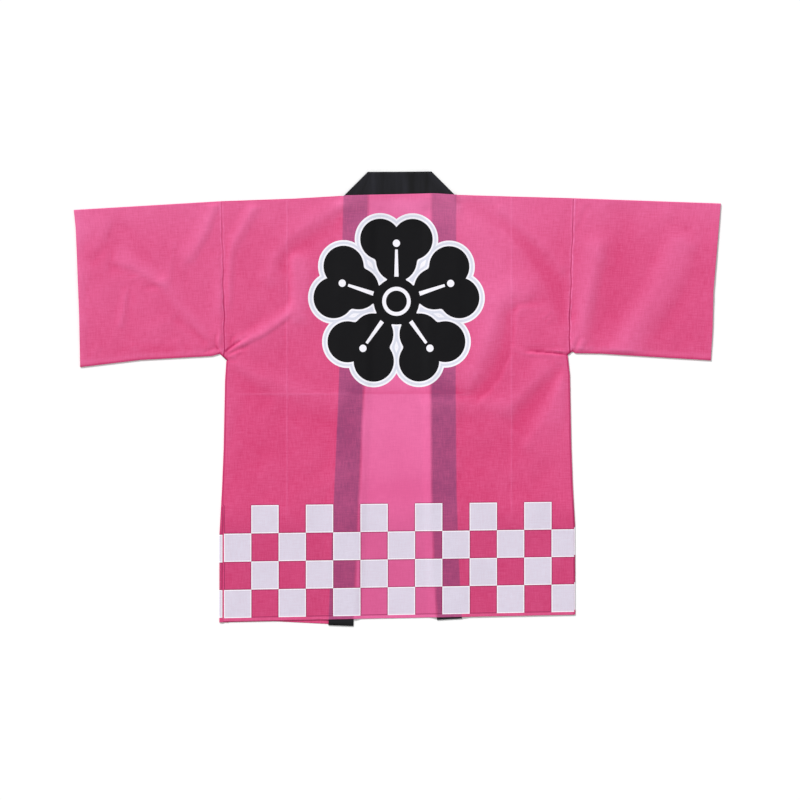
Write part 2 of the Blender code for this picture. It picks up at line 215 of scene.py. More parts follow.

# Painted light and painted shade: soft places of the upper layer that are paler or darker than its folds
# alone make it
PAINTED_LIGHT_PATCHES = (
    Patch(0.160, 0.250, 0.075, 0.130, 0.25),
    Patch(0.105, 0.345, 0.050, 0.025, 0.14),
    Patch(0.480, 0.190, 0.120, 0.110, -0.15),
    Patch(-0.500, 0.268, 0.016, 0.022, 0.14),
    Patch(-0.457, 0.235, 0.030, 0.013, 0.09),
    Patch(-0.588, 0.210, 0.022, 0.170, 0.26),
    Patch(-0.552, 0.305, 0.045, 0.035, 0.11),
    Patch(-0.432, 0.090, 0.050, 0.011, -0.12),
    Patch(0.018, 0.349, 0.042, 0.017, 0.26),
    Patch(-0.312, -0.030, 0.030, 0.080, 0.12),
    Patch(0.305, -0.030, 0.035, 0.140, 0.14),
    Patch(0.010, -0.165, 0.080, 0.022, -0.17),
    Patch(-0.088, -0.055, 0.022, 0.045, -0.12),
    Patch(0.490, 0.310, 0.050, 0.025, -0.06),
)

# Columns: height, width to the left of the run, width to its right, and the run's corners. The large folds
# of the solids come first, and the smaller creases of the laid cloth after them.
FOLDS = folds_of(
    (-0.0008, 0.0073, 0.0164, (-0.4901, 0.3079), (-0.4319, 0.2297)),
    (0.0015, 0.0146, 0.0055, (-0.5101, 0.2497), (-0.4792, 0.2424), (-0.4574, 0.2279), (-0.4301, 0.2106)),
    (0.0011, 0.0084, 0.0055, (-0.4301, 0.2133), (-0.3864, 0.1605), (-0.3445, 0.1096)),
    (-0.0014, 0.0055, 0.02, (-0.5192, 0.2461), (-0.5178, 0.2752), (-0.5163, 0.3061)),
    (-0.001, 0.0091, 0.0073, (-0.5556, 0.2497), (-0.5192, 0.2888)),
    (0.0019, 0.0146, 0.0062, (-0.3773, 0.2588), (-0.35, 0.3043), (-0.3336, 0.3516)),
    (-0.0008, 0.0127, 0.0164, (-0.592, 0.2497), (-0.5484, 0.2934)),
    (0.0011, 0.0091, 0.0033, (-0.3227, 0.1077), (-0.3234, 0.1805), (-0.3263, 0.257)),
    (0.0019, 0.0091, 0.0073, (-0.3118, 0.1714), (-0.3072, 0.2588), (-0.2972, 0.2861), (-0.2808, 0.3134),
     (-0.2626, 0.3462)),
    (0.0012, 0.0146, 0.0127, (-0.2317, 0.2206), (-0.2244, 0.257), (-0.1916, 0.2988), (-0.148, 0.3298),
     (-0.1043, 0.3534)),
    (-0.0013, 0.0127, 0.0127, (-0.2062, 0.2424), (-0.1916, 0.2679), (-0.1516, 0.2934), (-0.1043, 0.3225),
     (-0.0679, 0.3462)),
    (0.0027, 0.0098, 0.0036, (-0.2808, 0.1023), (-0.2462, 0.1187), (-0.2208, 0.136), (-0.2007, 0.1514),
     (-0.1853, 0.1623)),
    (0.0036, 0.0084, 0.0164, (-0.1835, 0.1551), (-0.182, 0.1805), (-0.182, 0.2097), (-0.1862, 0.2497)),
    (0.0008, 0.0055, 0.0255, (-0.2644, 0.1041), (-0.2244, 0.1296), (-0.1989, 0.1551)),
    (0.0011, 0.0146, 0.0164, (-0.3027, 0.0659), (-0.2681, 0.0477), (-0.1953, 0.0204), (-0.1079, -0.0033)),
    (-0.0012, 0.0091, 0.0164, (-0.3081, 0.055), (-0.2754, 0.0295), (-0.239, 0.0022)),
    (-0.0005, 0.0164, 0.0164, (-0.2062, -0.0269), (-0.1079, -0.0488)),
    (0.0006, 0.0182, 0.0146, (-0.1753, -0.1762), (-0.0733, -0.1289)),
    (0.0013, 0.0066, 0.0109, (0.1869, 0.3443), (0.2524, 0.2897), (0.2998, 0.2388)),
    (-0.0023, 0.0173, 0.0127, (0.1305, 0.3516), (0.2033, 0.3098), (0.2379, 0.2752), (0.2797, 0.2188),
     (0.3089, 0.1514)),
    (0.0025, 0.0237, 0.0218, (0.1323, 0.0258), (0.1633, 0.1168), (0.1851, 0.1733), (0.2106, 0.1915),
     (0.2342, 0.1915)),
    (-0.0021, 0.0218, 0.0044, (0.1542, 0.0095), (0.1796, 0.0386), (0.2015, 0.0859), (0.2075, 0.1259),
     (0.2084, 0.1569), (0.2197, 0.1742), (0.2397, 0.1751)),
    (-0.001, 0.0164, 0.0055, (0.0704, 0.0067), (0.125, 0.0067), (0.1578, 0.0149)),
    (0.0008, 0.0109, 0.0109, (0.0741, 0.0495), (0.136, 0.0495)),
    (0.0013, 0.0127, 0.0146, (0.0559, -0.0087), (0.2015, -0.0106)),
    (0.0014, 0.0182, 0.0109, (0.196, -0.0178), (0.2706, 0.0513)),
    (-0.0012, 0.0146, 0.0109, (0.216, -0.047), (0.2506, -0.0051), (0.2907, 0.0459)),
    (0.0018, 0.0091, 0.02, (0.2415, -0.0779), (0.2816, -0.016), (0.2998, 0.0313)),
    (0.0028, 0.0218, 0.0109, (0.3325, 0.1041), (0.3443, 0.1769), (0.3544, 0.2279), (0.3653, 0.2752)),
    (-0.001, 0.0255, 0.0237, (0.3689, 0.1259), (0.3908, 0.1987), (0.4108, 0.3371)),
    (0.0039, 0.0191, 0.0218, (0.4017, 0.0659), (0.4262, 0.1205), (0.4463, 0.1551), (0.469, 0.1878),
     (0.4799, 0.2097), (0.4954, 0.2388), (0.51, 0.2806)),
)
CREASES = folds_of(
    (0.001, 0.0047, 0.0033, (-0.5038, 0.135), (-0.4929, 0.1951)),
    (-0.0005, 0.0044, 0.0062, (-0.4865, 0.1405), (-0.4847, 0.1951)),
    (0.0004, 0.0033, 0.0029, (-0.4319, 0.2078), (-0.4155, 0.2169)),
    (-0.0008, 0.0036, 0.0036, (-0.4574, 0.2033), (-0.4282, 0.206)),
    (0.0005, 0.0029, 0.0029, (-0.489, 0.2151), (-0.4708, 0.2233)),
    (0.0004, 0.0036, 0.0036, (-0.4155, 0.2188), (-0.4082, 0.2861)),
    (-0.0004, 0.0029, 0.0029, (-0.3846, 0.2097), (-0.3809, 0.2497)),
    (-0.0009, 0.0047, 0.0062, (-0.4009, 0.146), (-0.35, 0.1059)),
    (-0.0009, 0.0024, 0.0022, (-0.3236, 0.0877), (-0.3294, 0.0968), (-0.33, 0.115)),
    (0.0007, 0.0024, 0.0027, (-0.32, 0.0877), (-0.3245, 0.1005), (-0.3227, 0.1187)),
    (-0.0006, 0.0025, 0.0029, (-0.35, 0.0841), (-0.3309, 0.0941), (-0.3263, 0.0914)),
    (0.0006, 0.0036, 0.0036, (-0.4701, 0.0795), (-0.4792, 0.0968)),
    (0.0005, 0.0036, 0.0044, (-0.4574, 0.0804), (-0.4646, 0.0932)),
    (0.0006, 0.004, 0.0036, (-0.39, 0.085), (-0.3991, 0.1059)),
    (0.0004, 0.0036, 0.0036, (-0.3664, 0.0859), (-0.37, 0.0986)),
    (0.0004, 0.0044, 0.0036, (-0.552, 0.075), (-0.5447, 0.095)),
    (0.0004, 0.0091, 0.0109, (-0.4501, 0.1259), (-0.4173, 0.1405)),
    (0.0004, 0.0109, 0.0091, (-0.5447, 0.1805), (-0.5229, 0.2169)),
    (-0.0008, 0.0018, 0.0018, (-0.3127, 0.0868), (-0.3008, 0.0968), (-0.2735, 0.1125)),
    (-0.0007, 0.0016, 0.0016, (-0.3127, 0.0868), (-0.3008, 0.0968), (-0.2863, 0.1056)),
    (-0.0006, 0.0016, 0.0016, (-0.3127, 0.0868), (-0.2972, 0.099)),
    (0.001, 0.0027, 0.0029, (-0.3081, 0.0859), (-0.2936, 0.095), (-0.2754, 0.1041), (-0.2644, 0.1132)),
    (-0.0006, 0.0024, 0.0024, (-0.3099, 0.0804), (-0.2899, 0.0895), (-0.2717, 0.095)),
    (0.0007, 0.0024, 0.0025, (-0.3063, 0.0768), (-0.2863, 0.0859)),
    (-0.0007, 0.0025, 0.0029, (-0.3099, 0.0732), (-0.2936, 0.0695)),
    (-0.0008, 0.0025, 0.0025, (-0.3118, 0.0877), (-0.3063, 0.1005), (-0.2972, 0.115)),
    (-0.0005, 0.0073, 0.0029, (-0.198, 0.1623), (-0.198, 0.2388)),
    (0.0006, 0.004, 0.0055, (-0.3109, 0.1805), (-0.309, 0.2497)),
    (-0.0005, 0.0091, 0.0091, (-0.2735, 0.1259), (-0.2462, 0.1478)),
    (0.0004, 0.0109, 0.0109, (-0.1734, 0.1805), (-0.1662, 0.2497)),
    (-0.0005, 0.0027, 0.0027, (-0.2053, 0.1132), (-0.2044, 0.1496)),
    (-0.0005, 0.0055, 0.0018, (0.2342, 0.0866), (0.2761, 0.0855)),
    (-0.0007, 0.0016, 0.0016, (0.2524, 0.0859), (0.2888, 0.0841), (0.3143, 0.0804)),
    (-0.0006, 0.0016, 0.0016, (0.2706, 0.0854), (0.2888, 0.0841), (0.3143, 0.0804)),
    (-0.0007, 0.0016, 0.0016, (0.2852, 0.0843), (0.3143, 0.0804)),
    (0.0009, 0.0024, 0.0024, (0.2706, 0.0892), (0.307, 0.0863)),
    (0.0006, 0.0022, 0.0036, (0.2415, 0.0823), (0.307, 0.0775)),
    (-0.0009, 0.0055, 0.0024, (0.2415, 0.0886), (0.2634, 0.0899), (0.2834, 0.0877)),
    (0.0005, 0.0029, 0.0029, (0.2652, 0.1478), (0.2797, 0.1605)),
    (0.0004, 0.0029, 0.0029, (0.2725, 0.1405), (0.2834, 0.1496)),
    (0.0006, 0.0044, 0.0055, (0.2051, 0.1751), (0.2342, 0.1805)),
    (0.0007, 0.0036, 0.0055, (0.1505, 0.3307), (0.2033, 0.2952), (0.2215, 0.2715)),
    (0.0006, 0.0036, 0.0036, (0.2069, 0.0959), (0.2233, 0.0877), (0.2433, 0.0814)),
    (0.0006, 0.0036, 0.0044, (0.2888, 0.0713), (0.307, 0.0641)),
    (0.0008, 0.0027, 0.0027, (0.3198, 0.085), (0.3189, 0.0986), (0.3234, 0.115)),
    (0.0008, 0.0029, 0.0029, (0.3298, 0.085), (0.3398, 0.1077)),
    (-0.0008, 0.0024, 0.0024, (0.3243, 0.0859), (0.3252, 0.0968), (0.3325, 0.1114)),
    (0.0006, 0.0029, 0.0029, (0.3416, 0.0841), (0.3525, 0.0968)),
    (0.0005, 0.0033, 0.0033, (0.3689, 0.0823), (0.3753, 0.0968)),
    (0.0005, 0.0033, 0.0029, (0.3817, 0.0814), (0.3917, 0.0968)),
    (0.0004, 0.0033, 0.0033, (0.4162, 0.0795), (0.4217, 0.0914)),
    (0.0004, 0.0091, 0.0091, (0.4417, 0.0932), (0.4745, 0.1041)),
    (0.0003, 0.0127, 0.0109, (0.5, 0.1805), (0.5327, 0.2388)),
    (0.0003, 0.0109, 0.0127, (0.4417, 0.3043), (0.4927, 0.3371)),
    (-0.0005, 0.0036, 0.0036, (0.3271, 0.3061), (0.3453, 0.3498)),
    (-0.0002, 0.0036, 0.0036, (0.4854, 0.2843), (0.5072, 0.2988), (0.5327, 0.3116)),
    (-0.0005, 0.0218, 0.0218, (-0.2863, -0.0379), (-0.2462, -0.0961)),
    (0.0003, 0.0182, 0.0218, (-0.1771, -0.0561), (-0.148, -0.1107)),
    (0.0005, 0.0218, 0.0255, (-0.046, -0.0379), (-0.0169, -0.1507)),
    (0.0004, 0.0218, 0.0182, (0.0231, -0.0233), (0.0486, -0.1289)),
    (0.0004, 0.0146, 0.0164, (0.1323, -0.0743), (0.2015, -0.0451)),
    (0.0005, 0.0164, 0.02, (0.1869, -0.1471), (0.2816, -0.0961)),
    (0.0003, 0.0164, 0.0164, (-0.2772, -0.1835), (-0.2226, -0.1361)),
    (0.0003, 0.0182, 0.0182, (-0.1225, -0.2199), (-0.0824, -0.2927)),
    (0.0003, 0.0182, 0.0182, (0.0959, -0.2199), (0.1505, -0.3036)),
    (0.0003, 0.0182, 0.0164, (0.2415, -0.2199), (0.2743, -0.3109)),
    (0.0005, 0.0146, 0.0182, (0.0013, 0.3516), (0.0413, 0.3152)),
    (0.0005, 0.0091, 0.0091, (-0.0824, 0.3516), (-0.0642, 0.3225)),
    (-0.0008, 0.0036, 0.0036, (0.0668, 0.368), (0.0886, 0.3516)),
    (0.0008, 0.004, 0.0036, (0.085, 0.3698), (0.1087, 0.348)),
    (-0.0007, 0.0036, 0.0036, (0.0996, 0.3716), (0.1159, 0.3553)),
    (0.0007, 0.0044, 0.0036, (0.1196, 0.3698), (0.1123, 0.3407)),
    (0.0005, 0.0055, 0.0055, (-0.1079, 0.348), (-0.0824, 0.3644)),
    (-0.0004, 0.0044, 0.0044, (-0.0934, 0.3407), (-0.0715, 0.3607)),
)


def smooth(share: Array) -> Array:
    """A smooth step from 0 to 1 as share goes from 0 to 1."""
    held = np.clip(share, 0.0, 1.0)
    return held * held * (3.0 - 2.0 * held)


class Ramp(NamedTuple):
    """A smooth rise from 0 to amount past a start; it comes before the start where ease is below 0."""

    start: float
    ease: float
    amount: float = 1.0

    def at(self, place: Array) -> Array:
        """Its value at places."""
        return self.amount * smooth((place - self.start) / self.ease)


class Bell(NamedTuple):
    """A soft hump with its middle, its width and its height."""

    middle: float
    width: float
    amount: float = 1.0

    def at(self, place: Array) -> Array:
        """Its value at places."""
        return self.amount * np.exp(-(((place - self.middle) / self.width) ** 2))


def along(points: tuple[tuple[float, float], ...], share: Array) -> Array:
    """Points a share of the way along a polyline, by length.

    Args:
        points: corners of the polyline.
        share: shares from 0 to 1.

    Returns:
        One (x, y) row for each share.
    """
    corners = np.array(points)
    run = np.concatenate([[0.0], np.cumsum(np.linalg.norm(np.diff(corners, axis=0), axis=1))])
    place = np.asarray(share) * run[-1]
    return np.stack([np.interp(place, run, corners[:, k]) for k in (0, 1)], axis=-1)


def stops(length: float, spans: tuple[tuple[float, float], ...], marks: tuple[float, ...] = ()) -> Array:
    """Shares of a length at which a grid has its lines.

    Args:
        length: the real length, in metres.
        spans: rows of (where a span ends, the distance between its lines), in metres.
        marks: places that have a line of their own.

    Returns:
        Rising shares from 0 to 1.
    """
    start, lines = 0.0, []
    for end, step in (*spans, (length, spans[-1][1])):
        lines.append(np.linspace(start, end, max(1, round((end - start) / step)) + 1))
        start = end
    places = np.unique(np.round(np.concatenate(lines), 7))
    for mark in marks:
        places[nearest(places, mark)] = mark
    return places[places <= length + 1e-9] / length


def nearest(places: Array, wanted: float) -> int:
    """Number of the place that lies nearest to the wanted one."""
    return int(np.argmin(np.abs(places - wanted)))


@dataclass(frozen=True)
class LaidForm:
    """Outline, heights and tone of the laid coat, which every piece shares.

    Heights are of the outer face: the underside of what lies on the floor, the top of what lies on it.
    """

    # Walls, edges, seams and the cloth that is tucked in beside them
    wall: float = 0.0004
    edge_radius: float = 0.00115
    half_seam: float = 0.00015
    seam_ledge: float = 0.0005
    roll_ramp: Ramp = Ramp(-0.165, -0.070)
    tuck: float = 0.008
    tuck_height: float = 0.0012
    tuck_low: float = 0.00062
    # Heights of the back over what lies under it
    collar_width: float = 0.0455
    collar_thickness: float = 0.0016
    on_cloth: float = 0.0023
    on_collar: float = 0.0029
    on_floor: float = 0.0007
    on_neck: float = 0.0048
    neck_sag: float = 0.0012
    collar_margin: float = 0.0025
    outer_ramp: float = 0.0120
    inner_ramp: float = 0.0150
    # Folds, their unevenness, and how far they reach the layer below
    fold_limit: float = 0.0036
    crease_tip: float = 0.0018
    wander: tuple[float, float, float] = (0.00022, 0.00012, 0.00005)
    through_share: float = 0.45
    through_limit: float = 0.0006
    floor_gap: float = 0.0001
    layer_gap: float = 0.0008
    sink_slope: float = 1.9
    # Tone: painted shade in the deepest creases and along the seams, the paler shoulders and sleeves, and
    # painted highlight on fold crests with painted shade in their troughs
    hollow_ramp: Ramp = Ramp(0.0008, 0.0010, 0.95)
    pale_base: float = 0.13
    pale_body: Ramp = Ramp(-0.10, 0.30, 0.13)
    pale_sleeve: Ramp = Ramp(0.30, 0.05, 0.05)
    pale_shoulder: Ramp = Ramp(0.26, 0.10, 0.15)
    pale_height: float = 0.0110
    pale_range: tuple[float, float] = (-0.14, 0.22)
    pale_shift: float = -0.01
    seam_flat: Ramp = Ramp(0.13, 0.12, 0.65)
    armpit_width: float = 0.0030
    puff: Bell = Bell(0.0021, 0.0012, 0.00034)

    def level_knots(self) -> Array:
        """Shares of the way up the body at which its levels lie."""
        middle = np.array([(lv.left_y + lv.right_y) / 2 for lv in BODY.values()])
        return (middle - middle[0]) / (middle[-1] - middle[0])

    def level(self, up: Array, name: str) -> Array:
        """A field of the body's levels, at shares of the way up."""
        return np.interp(up, self.level_knots(), [getattr(lv, name) for lv in BODY.values()])

    def share_of(self, name: str) -> float:
        """Share of the way up at which a named level lies."""
        return float(self.level_knots()[list(BODY).index(name)])

    def edge(self, hand: Hand, up: Array) -> tuple[Array, Array]:
        """The body's outline on one side.

        Args:
            hand: the side.
            up: shares of the way up.

        Returns:
            Its distances from the middle, and its heights.
        """
        word = hand.name.lower()
        y = self.level(up, word + "_y")
        return self.level(up, word + "_x") + self.waver(y), y

    def height_at(self, up: Array, x: Array) -> Array:
        """Height y of the body's cross lines.

        Args:
            up: the lines' shares of the way up.
            x: distances across.

        Returns:
            The height of each line at its x.
        """
        left_x, left_y = self.edge(Hand.LEFT, up)
        right_x, right_y = self.edge(Hand.RIGHT, up)
        chord = left_y + (right_y - left_y) * (x + left_x) / (right_x + left_x)
        rise = np.interp(x, [r.x for r in SHOULDER_RISE], [r.height for r in SHOULDER_RISE])
        return chord + self.level(up, "rise") * rise

    def arm_outer(self, hand: Hand, y: Array) -> Array:
        """Distance of a collar arm's outer edge from the middle at height y."""
        return np.interp(y, [a.y for a in COLLAR_ARMS], [getattr(a, hand.name.lower()) for a in COLLAR_ARMS])

    def beyond_arm(self, x: Array, y: Array) -> Array:
        """How far a point lies outside the outer edge of the nearer collar arm."""
        return np.abs(x) - np.where(x < 0, self.arm_outer(Hand.LEFT, y), self.arm_outer(Hand.RIGHT, y))

    def in_gap(self, beyond: Array) -> Array:
        """How far the back has sunk between the collar's arms, from 0 on an arm to 1 on the floor."""
        return smooth((-beyond - self.collar_width - self.collar_margin) / self.inner_ramp)

    def roll(self, hand: Hand, y: Array) -> Array:
        """How far the front wraps on to the top at the side seam."""
        return self.seam_ledge + SEAM_ROLL[hand] * self.roll_ramp.at(y)

    def summed(self, folds: tuple[Fold, ...], x: Array, y: Array) -> Array:
        """Heights of several folds together.

        Args:
            folds: the folds.
            x: distances across.
            y: heights on the laid coat.

        Returns:
            The sum at each point, below 0 in a trough.
        """
        total = np.zeros_like(x)
        for fold in folds:
            total += fold.height * fold.share_at(x, y, self.crease_tip)
        return total

    def hollow(self, x: Array, y: Array) -> Array:
        """Painted shade in the bottoms of the deepest small creases, from 0 to 1."""
        return self.hollow_ramp.at(-self.summed(CREASES, x, y))

    def fold_height(self, x: Array, y: Array) -> Array:
        """Height that folds, creases and the cloth's own unevenness add to the upper layer.

        Args:
            x: distances across.
            y: heights on the laid coat.

        Returns:
            The height at each point, below 0 in a trough.
        """
        total = self.summed(FOLDS + CREASES, x, y)
        coarse, middling, fine = self.wander
        wander = coarse * np.sin(x * 61 + 1.3 * np.sin(y * 23)) * np.sin(y * 53 + 1.7 * np.sin(x * 31))
        wander += middling * np.sin(x * 131 + y * 47) * np.sin(y * 119 - x * 37 + 0.6)
        wander += fine * np.sin(x * 290 - y * 130 + 2.0 * np.sin(y * 71)) * np.sin(y * 260 + x * 90)
        return self.fold_limit * np.tanh(total / self.fold_limit) + wander

    def through(self, x: Array, y: Array) -> Array:
        """Height by which the strongest folds lift the lower layer too."""
        return np.clip(self.through_share * self.fold_height(x, y), 0.0, self.through_limit)

    @staticmethod
    def waver(y: Array) -> Array:
        """How far an armhole seam strays sideways from its straight line."""
        ends = smooth((y - 0.10) / 0.03) * smooth((0.345 - y) / 0.03)
        return ends * (0.0006 * np.sin(y * 66 + 0.5) + 0.0004 * np.sin(y * 157))

    def lowest(self, base: Array) -> Array:
        """Lowest outer face that clears what the back lies on, from its height before its folds."""
        over_layer = self.through_limit + self.layer_gap + self.sink_slope * (base - self.on_cloth)
        return np.maximum(self.wall + self.floor_gap, over_layer)

    def lift(self, x: Array, y: Array, folds: Array) -> Array:
        """How pale the cloth is: paler towards the shoulders and cuffs, with painted highlight on fold
        crests, painted shade in their troughs, and painted light and shade in the listed patches.

        Args:
            x: distances across.
            y: heights on the laid coat.
            folds: heights of the folds there.

        Returns:
            The share of the pale colour, before the weave's own mottle.
        """
        upper = self.pale_base + self.pale_body.at(y) + self.pale_sleeve.at(np.abs(x))
        upper = upper + self.pale_shoulder.at(y)
        for patch in PAINTED_LIGHT_PATCHES:
            far = np.hypot((x - patch.x) / patch.reach_x, (y - patch.y) / patch.reach_y)
            upper = upper + patch.amount * np.exp(-(far**2))
        # Painted highlight where a fold rises and painted shade where it sinks
        return np.clip(folds / self.pale_height, *self.pale_range) + self.pale_shift + upper

    def seam_shade_strength(self, y: Array) -> Array:
        """How strong the painted shade along a seam is: less towards the shoulder, where it lies flatter."""
        return 1.15 - self.seam_flat.at(y) + 0.15 * np.sin(y * 83 + 1.0)

    def by_armpit(self, hand: Hand, far: Array, y: Array) -> Array:
        """How near points lie to the short slanting edge across an armpit, from 0 to 1.

        Args:
            hand: the side.
            far: distances from the middle towards that side.
            y: heights on the laid coat.

        Returns:
            1 on the edge, less away from it.
        """
        word = hand.name.lower()
        start = np.array([getattr(BODY["armpit"], word + "_x"), getattr(BODY["armpit"], word + "_y")])
        slant = np.array(SLEEVES[hand].underarm[1]) - start
        share = np.clip(((far - start[0]) * slant[0] + (y - start[1]) * slant[1]) / (slant @ slant), 0, 1)
        away = np.hypot(far - start[0] - share * slant[0], y - start[1] - share * slant[1])
        return Bell(0.0, self.armpit_width).at(away)

    def seam_puff(self, far: Array, y: Array) -> Array:
        """Height of the narrow, uneven ridge beside a sewn seam, at a distance from it."""
        uneven = 0.60 + 0.40 * np.sin(y * 150 + 2.0 * np.sin(y * 47)) * np.sin(y * 311 + 0.8)
        return uneven * self.puff.at(far)

    def body_base(self, x: Array, y: Array) -> Array:
        """Height of the back's outer face over what lies under it, before its folds.

        Args:
            x: distances across.
            y: heights on the laid coat.

        Returns:
            The height at each point.
        """
        beyond = self.beyond_arm(x, y)
        outside = smooth((beyond - self.collar_margin) / self.outer_ramp)
        base = self.on_collar + (self.on_cloth - self.on_collar) * outside
        return base + (self.on_floor - self.on_collar) * self.in_gap(beyond)

    def neck_height(self, x: Array) -> Array:
        """Height of the back's outer face where it lies on the collar behind the neck."""
        left, right = (h.value * (NECK_FOLD[h][0] - self.collar_width) for h in Hand)
        return self.on_neck - self.neck_sag * np.sin(np.pi * np.clip((x - left) / (right - left), 0, 1)) ** 2


FORM = LaidForm()


class Finishes:
    """Node-building tools that the finishes share."""

    @staticmethod
    def linear(code: str) -> tuple[float, float, float, float]:
        """Turns an sRGB hex colour to linear.

        Args:
            code: six hex digits, with or without a hash.

        Returns:
            Red, green, blue and an alpha of 1.
        """
        parts = [int(code.lstrip("#")[k : k + 2], 16) / 255 for k in (0, 2, 4)]
        return (*(p / 12.92 if p <= 0.04045 else ((p + 0.055) / 1.055) ** 2.4 for p in parts), 1.0)

    @staticmethod
    def add(tree: bpy.types.NodeTree, kind: str, inputs: dict, **settings: object) -> bpy.types.Node:
        """Adds a node with its settings and links.

        Args:
            tree: the material's node tree.
            kind: the node's type, without "ShaderNode".
            inputs: socket name or number to a value, or to the output socket to link.
            settings: the node's own settings.

        Returns:
            The new node.
        """
        node = tree.nodes.new("ShaderNode" + kind)
        for name, value in settings.items():
            setattr(node, name, value)
        for key, value in inputs.items():
            if isinstance(value, bpy.types.NodeSocket):
                tree.links.new(value, node.inputs[key])
            else:
                node.inputs[key].default_value = value
        return node

    @staticmethod
    def reckon(tree: bpy.types.NodeTree, known: dict, steps: tuple[tuple, ...]) -> dict:
        """Works out named values with Math nodes, one for each row of a table.

        Args:
            tree: the material's node tree.
            known: values by name: numbers and output sockets.
            steps: rows of (name, operation, operand, ...), where an operand is a name or a number.

        Returns:
            The values known before, with one more for each row.
        """
        for name, operation, *operands in steps:
            inputs = {k: known[o] if isinstance(o, str) else o for k, o in enumerate(operands)}
            known[name] = Finishes.add(tree, "Math", inputs, operation=operation).outputs[0]
        return known

    @staticmethod
    def begin(name: str) -> tuple[bpy.types.Material, bpy.types.NodeTree, bpy.types.Node]:
        """Starts a material.

        Args:
            name: name of the material.

        Returns:
            The material, its node tree and its Principled shader.
        """
        material = bpy.data.materials.new(name)
        material.use_nodes = True
        tree = material.node_tree
        return material, tree, tree.nodes["Principled BSDF"]


@dataclass(frozen=True)
class Blossom:
    """A bold five-petalled blossom with cut-out stamens and a ring.

    Its place is on the cloth map, in metres. The sizes under radius are shares of it, and their places
    are along a petal's middle line, from the blossom's middle.
    """

    at: tuple[float, float] = (0.3159, 0.5636)
    border: float = 0.0100
    rim: float = 0.0030
    petals: int = 5
    radius: float = 0.174
    lobe_at: tuple[float, float] = (0.640, 0.170)
    lobe_radius: float = 0.212
    waist_at: float = 0.420
    waist_radius: float = 0.215
    heart_radius: float = 0.240
    petal_blend: float = 0.05
    heart_blend: float = 0.03
    stem_at: float = 0.395
    stem_half: float = 0.140
    stem_width: float = 0.030
    stem_taper: float = -0.03
    dot_at: float = 0.600
    dot_radius: float = 0.038
    ring_radius: float = 0.130
    ring_half: float = 0.020

    def steps(self) -> tuple[tuple, ...]:
        """The sums that draw it, for the cloth map's u and v.

        Returns:
            Rows for Finishes.reckon, which end with is_print, is_black, border_rim and ink_all.
        """
        size = self.radius
        turn = 2 * math.pi / self.petals
        return (
            ("bx", "ADD", "u", -self.at[0]),
            ("by", "ADD", "v", -self.at[1]),
            ("angle", "ARCTAN2", "bx", "by"),
            ("petals", "MULTIPLY_ADD", "angle", 1 / turn, self.petals + 0.5),
            ("petal_part", "FRACT", "petals"),
            ("petal_off", "ADD", "petal_part", -0.5),
            ("petal_side", "ABSOLUTE", "petal_off"),
            ("petal_angle", "MULTIPLY", "petal_side", turn),
            ("bx2", "MULTIPLY", "bx", "bx"),
            ("reach2", "MULTIPLY_ADD", "by", "by", "bx2"),
            ("reach", "SQRT", "reach2"),
            ("cosine", "COSINE", "petal_angle"),
            ("sine", "SINE", "petal_angle"),
            ("px", "MULTIPLY", "reach", "cosine"),
            ("py", "MULTIPLY", "reach", "sine"),
            ("lobe_x", "ADD", "px", -self.lobe_at[0] * size),
            ("lobe_y", "ADD", "py", -self.lobe_at[1] * size),
            ("lobe_x2", "MULTIPLY", "lobe_x", "lobe_x"),
            ("lobe_r2", "MULTIPLY_ADD", "lobe_y", "lobe_y", "lobe_x2"),
            ("lobe_r", "SQRT", "lobe_r2"),
            ("lobe", "ADD", "lobe_r", -self.lobe_radius * size),
            ("waist_x", "ADD", "px", -self.waist_at * size),
            ("waist_x2", "MULTIPLY", "waist_x", "waist_x"),
            ("waist_r2", "MULTIPLY_ADD", "py", "py", "waist_x2"),
            ("waist_r", "SQRT", "waist_r2"),
            ("waist", "ADD", "waist_r", -self.waist_radius * size),
            ("heart", "ADD", "reach", -self.heart_radius * size),
            ("petal_shape", "SMOOTH_MIN", "lobe", "waist", self.petal_blend * size),
            ("blossom", "SMOOTH_MIN", "petal_shape", "heart", self.heart_blend * size),
            ("stem_out", "ADD", "px", -self.stem_at * size),
            ("stem_far", "ABSOLUTE", "stem_out"),
            ("stem_end", "ADD", "stem_far", -self.stem_half * size),
            ("stem_taper", "MULTIPLY_ADD", "px", self.stem_taper, self.stem_width * size),
            ("stem_side", "SUBTRACT", "py", "stem_taper"),
            ("stem", "MAXIMUM", "stem_end", "stem_side"),
            ("dot_x", "ADD", "px", -self.dot_at * size),
            ("dot_x2", "MULTIPLY", "dot_x", "dot_x"),
            ("dot_r2", "MULTIPLY_ADD", "py", "py", "dot_x2"),
            ("dot_r", "SQRT", "dot_r2"),
            ("dot", "ADD", "dot_r", -self.dot_radius * size),
            ("ring_r", "ADD", "reach", -self.ring_radius * size),
            ("ring_far", "ABSOLUTE", "ring_r"),
            ("ring", "ADD", "ring_far", -self.ring_half * size),
            ("cut", "MINIMUM", "stem", "dot"),
            ("cuts", "MINIMUM", "cut", "ring"),
            ("uncut", "MULTIPLY", "cuts", -1.0),
            ("black_shape", "MAXIMUM", "blossom", "uncut"),
            ("is_black", "LESS_THAN", "black_shape", 0.0),
            ("is_print", "LESS_THAN", "blossom", self.border),
            ("border_off", "ADD", "blossom", -self.border / 2),
            ("border_far", "ABSOLUTE", "border_off"),
            ("border_rim", "GREATER_THAN", "border_far", self.border / 2 - self.rim),
            ("ink_all", "MAXIMUM", "is_print", "ink"),
        )


